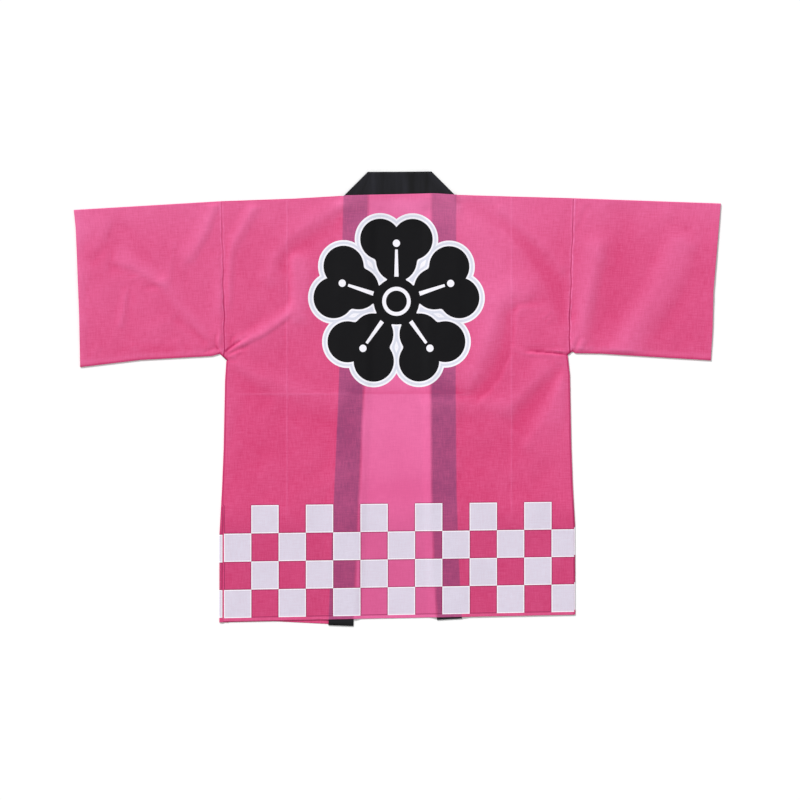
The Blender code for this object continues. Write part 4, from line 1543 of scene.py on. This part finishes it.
@dataclass
class FrontPanel:
    """A front, face down on the floor, turned up at its side seam and over the shoulder."""

    hand: Hand
    width: float = 0.200
    length: float = 0.770
    flat: tuple[float, float] = (0.235, 0.79)
    columns: tuple[tuple[float, float], ...] = ((0.0030, 0.0010), (0.1960, 0.0050), (0.1990, 0.0010))
    rows: tuple[tuple[float, float], ...] = (
        (0.0010, 0.0010), (0.0070, 0.0020), (0.7640, 0.0050), (0.7690, 0.0012),
    )
    inner_lines: int = 4
    turn_steps: int = 6
    flange_lines: int = 5
    collar_gap: float = 0.0003
    neck_clear: Ramp = Ramp(0.300, 0.036, 0.0022)
    top_turn: Ramp = Ramp(0.985, 0.015)
    fold_margin: Ramp = Ramp(0.0, 0.012)
    hem_reach: float = 0.30
    hem_print: float = 0.0085
    hem_stitch: float = 0.0050
    # Painted shade on the rounded edges where the front turns over at its side and at the shoulder
    turned_edge_shade: float = 0.35
    turned_edge_shade_reach: float = 0.0012
    across: Array = field(init=False, repr=False)
    up: Array = field(init=False, repr=False)

    def __post_init__(self) -> None:
        """Works out the grid's lines."""
        self.across = stops(self.width, self.columns)
        self.up = stops(self.length, self.rows, (self.hem_stitch,))

    @property
    def last_across(self) -> int:
        """Number of the last column before the turn at the side, from the edge by the collar."""
        return len(self.across) - 1

    @property
    def last_up(self) -> int:
        """Number of the last row before the turn at the shoulder."""
        return len(self.up) - 1

    def turned_over(self, step: Array) -> tuple[Array, Array, Array]:
        """How the cloth goes round an edge and is tucked under the back.

        Args:
            step: numbers of lines past the start of the turn.

        Returns:
            The reach beyond the turn's start, the height, and the number of lines past the turn's end.
        """
        reach, height = half_turn(np.minimum(step / self.turn_steps, 1), FORM.on_cloth)
        past = np.clip(step - self.turn_steps, 0, None)
        dip = (FORM.on_cloth - FORM.tuck_height) * smooth((past - 0.8) / 1.2)
        return reach, height - dip, past

    def lay(self, column: Array, row: Array) -> Laid:
        """Lays the front on the floor, round its side and over its shoulder.

        Args:
            column: column numbers of the grid's points.
            row: their row numbers.

        Returns:
            The points' places, cloth map and facts.
        """
        sign = self.hand.value
        up = self.up[np.minimum(row, self.last_up)]
        share = self.across[np.clip(column - self.inner_lines, 0, self.last_across)]
        armpit = FORM.share_of("armpit") + 1e-6
        edge_x, edge_y = FORM.edge(self.hand, up)
        outer = edge_x - np.where(up > armpit, FORM.half_seam, FORM.edge_radius)
        inner = FORM.arm_outer(self.hand, edge_y) + self.collar_gap + self.neck_clear.at(edge_y)
        far = inner + (outer - inner) * share
        x = sign * far
        hem_y = np.interp(share, (0.0, 0.5, 1.0), FRONT_HEM[self.hand])
        at_hem = FORM.height_at(np.zeros_like(x), x)
        near_hem = 1 - smooth((edge_y - edge_y.min()) / self.hem_reach)
        y = FORM.height_at(up, x) + (hem_y - at_hem) * near_hem
        y = y - self.top_turn.at(up) * FORM.edge_radius
        room = np.minimum(np.minimum(far - inner, outer - far), np.minimum(up, 1 - up) * self.length)
        z = FORM.through(x, y) * self.fold_margin.at(room)

        inward = np.maximum(0, self.inner_lines - column) / max(1, self.inner_lines)
        x = x - sign * inward * FORM.tuck
        z = z + FORM.tuck_low * smooth(inward / 0.2)
        side_step = np.clip(column - self.inner_lines - self.last_across, 0, None)
        on_side = side_step > 0
        reach, height, past = self.turned_over(side_step)
        rolled = FORM.roll(self.hand, edge_y) - FORM.seam_ledge
        side_back = np.where(past > 0, rolled + FORM.seam_ledge, 0.0)
        side_back = side_back + FORM.tuck / 3 * np.clip(past - 1, 0, None)
        x = np.where(on_side, x + sign * (reach - side_back), x)
        z = np.where(on_side, height, z)
        top_step = np.clip(row - self.last_up, 0, None)
        on_top = top_step > 0
        reach, height, past = self.turned_over(top_step)
        top_back = np.where(past > 0, FORM.seam_ledge, 0.0) + FORM.tuck / 3 * np.clip(past - 1, 0, None)
        y = np.where(on_top, y + reach - top_back, y)
        z = np.where(on_top, height, z)

        turned = np.minimum(side_step / self.turn_steps, 1.0) * math.pi * FORM.edge_radius
        turned = np.where(on_side, turned + side_back, 0.0)
        sewn = math.pi * FORM.edge_radius + FORM.roll(self.hand, edge_y)
        u = (outer - far) + sewn - turned + inward * FORM.tuck
        v = y - hem_y * near_hem - FORM.height_at(np.zeros_like(x), x) * (1 - near_hem) - self.hem_print
        # Painted shade on the turned edges at the side and over the shoulder
        by_side = smooth(side_step / self.turn_steps) * (side_back < self.turned_edge_shade_reach)
        seam = np.where(on_side, self.turned_edge_shade * by_side, 0.0)
        seam = np.where(on_top, self.turned_edge_shade * smooth(top_step / self.turn_steps), seam)
        facts = {
            "lift": FORM.lift(x, y, np.zeros_like(x)),
            "single": np.zeros_like(x),
            "over_collar": np.full_like(x, -1.0),
            "seam": seam,
        }
        return Laid(np.stack([x, y, z], -1), np.stack([u, v], -1), facts)

    def keep(self, column: int, row: int) -> bool:
        """Whether a cell is cloth: there is no side seam above the armpit and no corner at the shoulder.

        Args:
            column: the cell's first column.
            row: its first row.

        Returns:
            Whether the cell stays.
        """
        on_side = column >= self.inner_lines + self.last_across
        if column < self.inner_lines and self.up[min(row + 1, self.last_up)] > FORM.share_of("yoke") - 0.06:
            return False
        if row >= self.last_up:
            return not on_side and column >= self.inner_lines
        return not on_side or self.up[row + 1] <= FORM.share_of("armpit") + 0.004

    def build(self, cloth: bpy.types.Material, thread: bpy.types.Material) -> tuple[bpy.types.Object, ...]:
        """Builds the front with its hem stitches.

        Args:
            cloth: the finish of the cloth.
            thread: the finish of the stitches.

        Returns:
            The cloth piece and its stitches.
        """
        wrap = self.turn_steps + self.flange_lines
        size = (self.inner_lines + len(self.across) + wrap, len(self.up) + wrap)
        word = self.hand.name.lower()
        piece = cloth_from_grid("front_cloth_" + word, cloth, size, self.lay, faces_up=False, keep=self.keep)
        sewn = np.arange(self.inner_lines, self.inner_lines + self.last_across)
        row = nearest(self.up * self.length, self.hem_stitch)
        hem = self.lay(sewn, np.full(len(sewn), row)).place
        return piece, Stitching().build("front_stitches_" + word, thread, [(hem, -UPWARDS)])


@dataclass
class Sleeve:
    """A sleeve: one rectangle folded at the shoulder edge, with its seam under the arm."""

    hand: Hand
    depth: float = 0.285
    length: float = 0.270
    flat: tuple[float, float] = (0.585, 0.28)
    around: tuple[tuple[float, float], ...] = (
        (0.0008, 0.0008), (0.0048, 0.0010), (0.0200, 0.0014), (0.0360, 0.0024), (0.2700, 0.0036),
        (0.2802, 0.0017), (0.2842, 0.0010),
    )
    outward: tuple[tuple[float, float], ...] = (
        (0.0008, 0.0008), (0.0048, 0.0010), (0.0200, 0.0014), (0.0500, 0.0024), (0.2600, 0.0037),
        (0.2662, 0.0020), (0.2692, 0.0010),
    )
    turn_steps: int = 6
    flange: tuple[float, ...] = (-0.0080, -0.0050, -0.0020, -0.0008)
    flange_ease: float = 0.0018
    flange_inset: float = 0.0010
    hem: float = 0.012
    hem_rise: float = 0.0002
    hem_ease: float = 0.0012
    edge_margin: Ramp = Ramp(0.0, 0.009)
    seam_margin: Ramp = Ramp(-0.001, 0.006)
    deepest: float = -0.0012
    cuff_lift: Ramp = Ramp(0.7, 0.3, 0.0012)
    armpit_sink: float = 0.0007
    seam_dip: Ramp = Ramp(0.0, 0.0022)
    seam_dip_depth: float = 0.00016
    puff_shift: float = 0.3
    right_puff: float = 1.5
    # Painted highlight a little above the lower edge, and painted shade along the seam and just inside the
    # lower edge
    edge_painted_highlight: Bell = Bell(0.0075, 0.0040, 0.12)
    seam_shade_bell: Bell = Bell(0.0, 0.0010)
    edge_shade_bell: Bell = Bell(0.0010, 0.0013, 0.65)
    ring_share: Array = field(init=False, repr=False)
    ring_turn: Array = field(init=False, repr=False)
    out: Array = field(init=False, repr=False)

    def __post_init__(self) -> None:
        """Works out the lines round the tube, as shares up and shares of its turns, and those along it."""
        shares = stops(self.depth, self.around)
        turns = np.linspace(0, 1, self.turn_steps + 1)
        back, round_top, round_low = shares[::-1], turns[1:-1], turns[::-1][1:]
        self.ring_share = np.concatenate([shares, np.ones(len(round_top)), back, np.zeros(len(round_low))])
        self.ring_turn = np.concatenate([np.zeros(len(shares)), round_top, np.ones(len(back)), round_low])
        along_sleeve = stops(self.length, self.outward, (self.length - self.hem,))
        self.out = np.concatenate([np.array(self.flange), along_sleeve])

    def ruled(self, share: Array, out: Array) -> tuple[Array, Array, Array]:
        """Points of the sleeve's flat outline, before its edges are turned.

        Args:
            share: shares of the way up from the underarm.
            out: shares of the way out from the armhole.

        Returns:
            The places, the unit lines up the sleeve there, and its heights along them.
        """
        cut, word = SLEEVES[self.hand], self.hand.name.lower()
        levels = list(BODY.values())[list(BODY).index("seam_low") :]
        armhole = tuple(
            (getattr(lv, word + "_x") + FORM.half_seam, getattr(lv, word + "_y")) for lv in levels
        )
        seam, cuff, low = along(armhole, share), along(cut.cuff, share), along(cut.underarm, out)
        seam[:, 0] += FORM.waver(seam[:, 1])
        (seam_low, seam_top), (cuff_low, cuff_top) = (
            (np.array(line[0]), np.array(line[-1])) for line in (armhole, cut.cuff)
        )
        top = seam_top + (cuff_top - seam_top) * out[:, None]
        low_chord = seam_low + (cuff_low - seam_low) * out[:, None]
        between = seam + (cuff - seam) * out[:, None]
        corner = low_chord + (top - low_chord) * share[:, None]
        spot = between + low + (top - low) * share[:, None] - corner
        height = np.linalg.norm(top - low, axis=1)
        line = (top - low) / height[:, None]
        return spot, line, height

    def lay(self, column: Array, row: Array) -> Laid:
        """Lays the sleeve flat, as a tube pressed to two layers.

        Args:
            column: column numbers of the grid's points.
            row: their row numbers.

        Returns:
            The points' places, cloth map and facts.
        """
        sign = self.hand.value
        share, turned = self.ring_share[column], self.ring_turn[column]
        out, into = np.maximum(self.out[row], 0.0), np.minimum(self.out[row], 0.0)
        spot, line, height = self.ruled(share, out)
        spot = spot + line * (FORM.edge_radius * (1 - 2 * share))[:, None]
        sewn = into >= 0
        slanted = FORM.by_armpit(self.hand, spot[:, 0], spot[:, 1]) * sewn
        reach, z = half_turn(turned, FORM.on_cloth - self.armpit_sink * slanted)
        facing = np.where(share > 0.5, 1.0, -1.0)
        outward = facing * reach
        spot = spot + line * outward[:, None]

        room = np.minimum(share, 1 - share) * height
        upper = (turned > 0.999).astype(float)
        from_seam = np.minimum(out, 1.0) * self.length
        clear = self.edge_margin.at(room) * self.seam_margin.at(from_seam)
        creased = FORM.fold_height(sign * spot[:, 0], spot[:, 1]) * upper
        # Painted shade in the bottoms of the deepest creases
        deep = FORM.hollow(sign * spot[:, 0], spot[:, 1]) * upper * sewn
        folds = np.maximum(creased * clear, self.deepest)
        under = FORM.through(sign * spot[:, 0], spot[:, 1]) * clear * (turned < 0.001)
        open_cuff = self.cuff_lift.at(out) * np.sin(np.pi * share) * upper
        hem_ridge = self.hem_rise * smooth((from_seam - (self.length - self.hem)) / self.hem_ease) * upper
        dip = self.seam_dip_depth * upper * (1 - self.seam_dip.at(from_seam)) * sewn
        puff = upper * FORM.seam_puff(from_seam, spot[:, 1] + self.puff_shift) * sewn * (1 - slanted)
        puff = puff * (self.right_puff if self.hand is Hand.RIGHT else 1.0)
        z = z + folds + under + open_cuff + hem_ridge - dip + puff
        tucked = smooth(-into / self.flange_ease)
        z = z + (np.where(turned > 0.5, FORM.tuck_height, FORM.tuck_low) - z) * tucked
        spot[:, 0] += into
        spot = spot - line * (facing * self.flange_inset * tucked * (room < 0.01))[:, None]

        by_underarm = (share < 0.5) * upper
        # Painted shade along the seam, inside the lower edge, round the turned edges and along the armpit's
        # slanting edge; painted highlight on the seam's ridge and a little above the lower edge
        lines = self.seam_shade_bell.at(from_seam) * FORM.seam_shade_strength(spot[:, 1])
        lines += self.edge_shade_bell.at(room) * by_underarm
        turn_shade = 0.2 * np.sin(np.pi * turned) ** 2
        paler = 0.6 * puff / 0.0004 + self.edge_painted_highlight.at(room) * by_underarm
        facts = {
            "lift": FORM.lift(sign * spot[:, 0], spot[:, 1], folds) + paler,
            "single": np.zeros_like(out),
            "over_collar": np.full_like(out, -1.0),
            "seam": np.clip(lines + turn_shade + deep, 0, 1.2) + 0.5 * slanted,
        }
        around = np.where(turned > 0.5, 2 * height - share * height, share * height) + outward
        place = np.stack([sign * spot[:, 0], spot[:, 1], z], -1)
        return Laid(place, np.stack([from_seam, around], -1), facts)

    def build(self, cloth: bpy.types.Material, thread: bpy.types.Material) -> tuple[bpy.types.Object, ...]:
        """Builds the sleeve with its cuff stitches.

        Args:
            cloth: the finish of the cloth.
            thread: the finish of the stitches.

        Returns:
            The cloth piece and its stitches.
        """
        word, size = self.hand.name.lower(), (len(self.ring_share), len(self.out))
        piece = cloth_from_grid("sleeve_cloth_" + word, cloth, size, self.lay, faces_up=False, closed=True)
        columns = np.arange(len(self.ring_share))
        row = nearest(self.out * self.length, self.length - self.hem)
        ring = self.lay(columns, np.full(len(columns), row)).place
        lower, upper = self.ring_turn < 0.001, self.ring_turn > 0.999
        lower[-1] = False
        rows = [(ring[lower], -UPWARDS), (ring[upper], UPWARDS)]
        return piece, Stitching().build("sleeve_stitches_" + word, thread, rows)


class Section(NamedTuple):
    """A cross section of the collar's strip: its outer edge, its inner edge and its normal."""

    outer: Vector
    inner: Vector
    normal: Vector


@dataclass
class CollarBand:
    """The collar: a doubled strip up one front edge, folded over at each shoulder behind the neck."""

    flat: tuple[float, float] = (0.093, 1.76)
    step: float = 0.0045
    strip: tuple[tuple[float, float], ...] = ((0.0008, 0.0008), (0.0447, 0.0036))
    fan_steps: int = 10
    turn_steps: int = 8
    side_turn: int = 8
    stitch_in: float = 0.0030
    arm_short: float = 0.0075
    arm_slope: float = 0.006
    fold_radius: float = 0.00095
    puff_height: float = 0.00015
    puffs_per_metre: float = 70.0
    made: list[Section] = field(init=False, repr=False)
    shares: Array = field(init=False, repr=False)
    ring_share: Array = field(init=False, repr=False)
    ring_turn: Array = field(init=False, repr=False)

    def __post_init__(self) -> None:
        """Works out the strip's sections, and the lines round each of them."""
        self.made = self.sections()
        self.shares = stops(FORM.collar_width, self.strip, self.stitch_places())
        turns = np.linspace(0, 1, self.side_turn + 1)
        self.ring_share = np.concatenate([self.shares, np.ones(len(turns) - 2), self.shares[::-1]])
        self.ring_turn = np.concatenate([np.zeros(len(self.shares)), turns[1:-1], np.ones(len(self.shares))])

    def stitch_places(self) -> tuple[float, float]:
        """Distances of the two rows of stitches from the strip's outer edge."""
        return self.stitch_in, FORM.collar_width - self.stitch_in

    def arm(self, hand: Hand) -> list[Section]:
        """Sections of an arm, from its end at the hem to where its fold starts.

        Args:
            hand: the side.

        Returns:
            The sections in order.
        """
        top = NECK_FOLD[hand][1] - self.arm_short
        count = round((top - COLLAR_END[hand]) / self.step)
        sections = []
        for number in range(count + 1):
            y = COLLAR_END[hand] + (top - COLLAR_END[hand]) * number / count
            low, at_y, high = (
                float(FORM.arm_outer(hand, np.array(y + d))) for d in (-self.arm_slope, 0.0, self.arm_slope)
            )
            outer = Vector((hand.value * at_y, y, FORM.collar_thickness / 2))
            inward = Vector((-hand.value * 2 * self.arm_slope, high - low, 0.0)).normalized()
            sections.append(Section(outer, outer + inward * FORM.collar_width, Vector((0, 0, 1))))
        return sections

    def fold(self, hand: Hand) -> list[Section]:
        """Sections of the half turn at the shoulder, along its 45 degree line.

        Args:
            hand: the side.

        Returns:
            The sections in order, from the arm to the neck.
        """
        radius = self.fold_radius
        corner = Vector((hand.value * NECK_FOLD[hand][0], NECK_FOLD[hand][1], 0.0))
        line = Vector((-hand.value, 1.0, 0.0)).normalized()
        outward = Vector((hand.value, 1.0, 0.0)).normalized()
        sections = []
        for number in range(self.turn_steps + 1):
            angle = math.pi * number / self.turn_steps
            place = corner + outward * radius * math.sin(angle) + line * radius * (angle - math.pi / 2)
            place.z = FORM.collar_thickness / 2 + radius * (1 - math.cos(angle))
            normal = Vector((0, 0, math.cos(angle))) - outward * math.sin(angle)
            sections.append(Section(place, place + line * FORM.collar_width * math.sqrt(2), normal))
        return sections

    @staticmethod
    def between(start: Section, end: Section, steps: int) -> list[Section]:
        """Sections in even steps between two, without the two themselves."""
        shares = [k / steps for k in range(1, steps)]
        return [Section(*(a.lerp(b, s) for a, b in zip(start, end))) for s in shares]

    def neck(self, left: Section, right: Section) -> list[Section]:
        """Upright sections of the strip behind the neck, between the two folds.

        Args:
            left: the last section of the left fold.
            right: the last section of the right fold.

        Returns:
            The sections in order, from left to right.
        """
        count = round((right.inner.x - left.inner.x) / self.step)
        sections = []
        for number in range(1, count):
            share = number / count
            inner = left.inner.lerp(right.inner, share)
            outer = Vector((inner.x, left.outer.y + (right.outer.y - left.outer.y) * share, inner.z))
            drop = Vector((0, 0, FORM.neck_sag * math.sin(math.pi * share) ** 2))
            sections.append(Section(outer - drop, inner - drop, Vector((0, 0, -1))))
        return sections

    def sections(self) -> list[Section]:
        """All the sections of the strip.

        Returns:
            The sections in order, from the left arm's end to the right arm's.
        """
        arms = {hand: self.arm(hand) for hand in Hand}
        folds = {hand: self.fold(hand) for hand in Hand}
        neck = self.neck(folds[Hand.LEFT][-1], folds[Hand.RIGHT][-1])
        halves = []
        for hand, neck_end in ((Hand.LEFT, neck[0]), (Hand.RIGHT, neck[-1])):
            side = arms[hand] + self.between(arms[hand][-1], folds[hand][0], self.fan_steps) + folds[hand]
            halves.append(side + self.between(folds[hand][-1], neck_end, self.fan_steps))
        return halves[0] + neck + halves[1][::-1]

    def lay(self, column: Array, row: Array) -> Laid:
        """Lays the doubled strip along its sections.

        Args:
            column: column numbers of the grid's points.
            row: their row numbers.

        Returns:
            The points' places and cloth map; its finish reads no facts.
        """
        outer, inner, normal = (np.array([list(s[k]) for s in self.made]) for k in range(3))
        normal = normal / np.linalg.norm(normal, axis=1, keepdims=True)
        half = FORM.collar_thickness / 2
        share, turn = self.ring_share[column], self.ring_turn[column]
        across = inner[row] - outer[row]
        length = np.linalg.norm(across, axis=1, keepdims=True)
        across = across / length
        reach = half * np.sin(np.pi * turn)
        side = -half * np.cos(np.pi * turn)
        spot = outer[row] + across * (share[:, None] * (length - half) + reach[:, None])
        spot = spot + normal[row] * side[:, None]
        middle = (outer + inner) / 2
        run = np.concatenate([[0.0], np.cumsum(np.linalg.norm(np.diff(middle, axis=0), axis=1))])
        puff = self.puff_height * np.sin(run[row] * self.puffs_per_metre) * np.sin(np.pi * share)
        spot = spot + normal[row] * (puff * (turn > 0.5))[:, None]
        around = np.where(turn > 0.5, 2 - share, share) * FORM.collar_width
        return Laid(spot, np.stack([around, run[row]], -1), {})

    def build(self, cloth: bpy.types.Material, thread: bpy.types.Material) -> tuple[bpy.types.Object, ...]:
        """Builds the collar with the stitches along both its edges.

        Args:
            cloth: the finish of the cloth.
            thread: the finish of the stitches.

        Returns:
            The cloth piece and its stitches.
        """
        size = (len(self.ring_share), len(self.made))
        piece = cloth_from_grid("collar_cloth", cloth, size, self.lay, faces_up=False)
        lines = np.arange(len(self.made))
        normals = -np.array([list(s.normal.normalized()) for s in self.made])
        rows = []
        for place_in in self.stitch_places():
            column = nearest(self.shares * FORM.collar_width, place_in)
            rows.append((self.lay(np.full(len(lines), column), lines).place, normals))
        return piece, Stitching().build("collar_stitches", thread, rows)


class Lamp(NamedTuple):
    """A distant lamp: where it shines from, its apparent size in degrees and its strength."""

    name: str
    place: tuple[float, float, float]
    softness: float
    power: float


@dataclass(frozen=True)
class Studio:
    """A plain pale floor, soft light from above the neck and the left, and a camera straight above."""

    height: float = 4.044
    lens: float = 100.0
    centre: tuple[float, float] = (0.0049, -0.0015)
    floor_half: float = 30.0
    floor_drop: float = 0.0002
    floor_colour: str = "#FAFAFA"
    surround: float = 0.44
    lamps: tuple[Lamp, ...] = (
        Lamp("key_light", (-1.5, 2.4, 1.9), 12.0, 3.1),
        Lamp("fill_light", (1.6, -1.2, 3.0), 60.0, 0.30),
    )

    def floor(self) -> None:
        """A wide matt floor just under the coat."""
        material, _, shader = Finishes.begin("matt_paper_white")
        shader.inputs["Base Color"].default_value = Finishes.linear(self.floor_colour)
        shader.inputs["Roughness"].default_value = 0.95
        shader.inputs["Specular IOR Level"].default_value = 0.0
        bed = bmesh.new()
        bmesh.ops.create_grid(bed, x_segments=1, y_segments=1, size=self.floor_half)
        bmesh.ops.translate(bed, verts=bed.verts, vec=(0, 0, -self.floor_drop))
        placed("studio_floor", bed, material)

    def light(self) -> None:
        """A soft key light from the upper left, a weak fill light and a pale surround."""
        for name, place, softness, power in self.lamps:
            lamp = bpy.data.lights.new(name, "SUN")
            lamp.angle = math.radians(softness)
            lamp.energy = power
            holder = bpy.data.objects.new(name, lamp)
            holder.location = place
            holder.rotation_euler = (-Vector(place)).to_track_quat("-Z", "Y").to_euler()
            bpy.context.scene.collection.objects.link(holder)
        world = bpy.data.worlds.new("pale_surround")
        world.use_nodes = True
        world.node_tree.nodes["Background"].inputs[0].default_value = (1.0, 1.0, 1.0, 1.0)
        world.node_tree.nodes["Background"].inputs[1].default_value = self.surround
        bpy.context.scene.world = world
        bpy.context.scene.view_settings.view_transform = "Standard"

    def camera(self) -> None:
        """A long lens looking straight down, with the neck at the top of the picture."""
        lens = bpy.data.cameras.new("camera")
        lens.lens = self.lens
        lens.sensor_width = 36.0
        holder = bpy.data.objects.new("camera", lens)
        holder.location = (*self.centre, self.height)
        bpy.context.scene.collection.objects.link(holder)
        bpy.context.scene.camera = holder


def settle(
    sewn: tuple[bpy.types.Object, ...],
    node: str,
    flat: tuple[float, float],
) -> None:
    """Ties a cloth piece and its stitches to its node, and states its cut.

    Args:
        sewn: the piece and its stitches.
        node: the node that the piece stands for.
        flat: width and length of its cut, in metres.
    """
    piece, stitches = sewn
    for one in sewn:
        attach(one, BODY_NAME)
    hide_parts(node)
    area = min(cut_area(piece), flat[0] * flat[1])
    log.info("%s: %d faces, cut %.3f square metres", piece.name, len(piece.data.polygons), area)
    log.info("%s: %d faces", stitches.name, len(stitches.data.polygons))


def main() -> None:
    """Builds the studio and the coat in order."""
    logging.basicConfig(level=logging.INFO, format="%(message)s")
    studio = Studio()
    studio.floor()
    studio.light()
    studio.camera()
    pink = PinkCloth()
    back_material = pink.make("polycotton_back_printed", Print.BACK)
    front_material = pink.make("polycotton_front_printed", Print.HEM)
    sleeve_material = pink.make("polycotton_sleeve_plain", Print.NONE)
    black_material = BlackCloth().make("black_cotton_doubled")
    pink_thread = Thread().make("pink_polyester_thread")
    black_thread = Thread(colour="#2A2A2E").make("black_polyester_thread")
    collar = CollarBand()
    sewn = collar.build(black_material, black_thread)
    settle(sewn, "collar_band", collar.flat)
    for hand in Hand:
        word = hand.name.lower()
        front, sleeve = FrontPanel(hand), Sleeve(hand)
        sewn = front.build(front_material, pink_thread)
        settle(sewn, "front_" + word, front.flat)
        sewn = sleeve.build(sleeve_material, pink_thread)
        settle(sewn, "sleeve_" + word, sleeve.flat)
    back = BackPanel()
    sewn = back.build(back_material, pink_thread)
    settle(sewn, "back_body", back.flat)


if __name__ == "__main__":
    main()
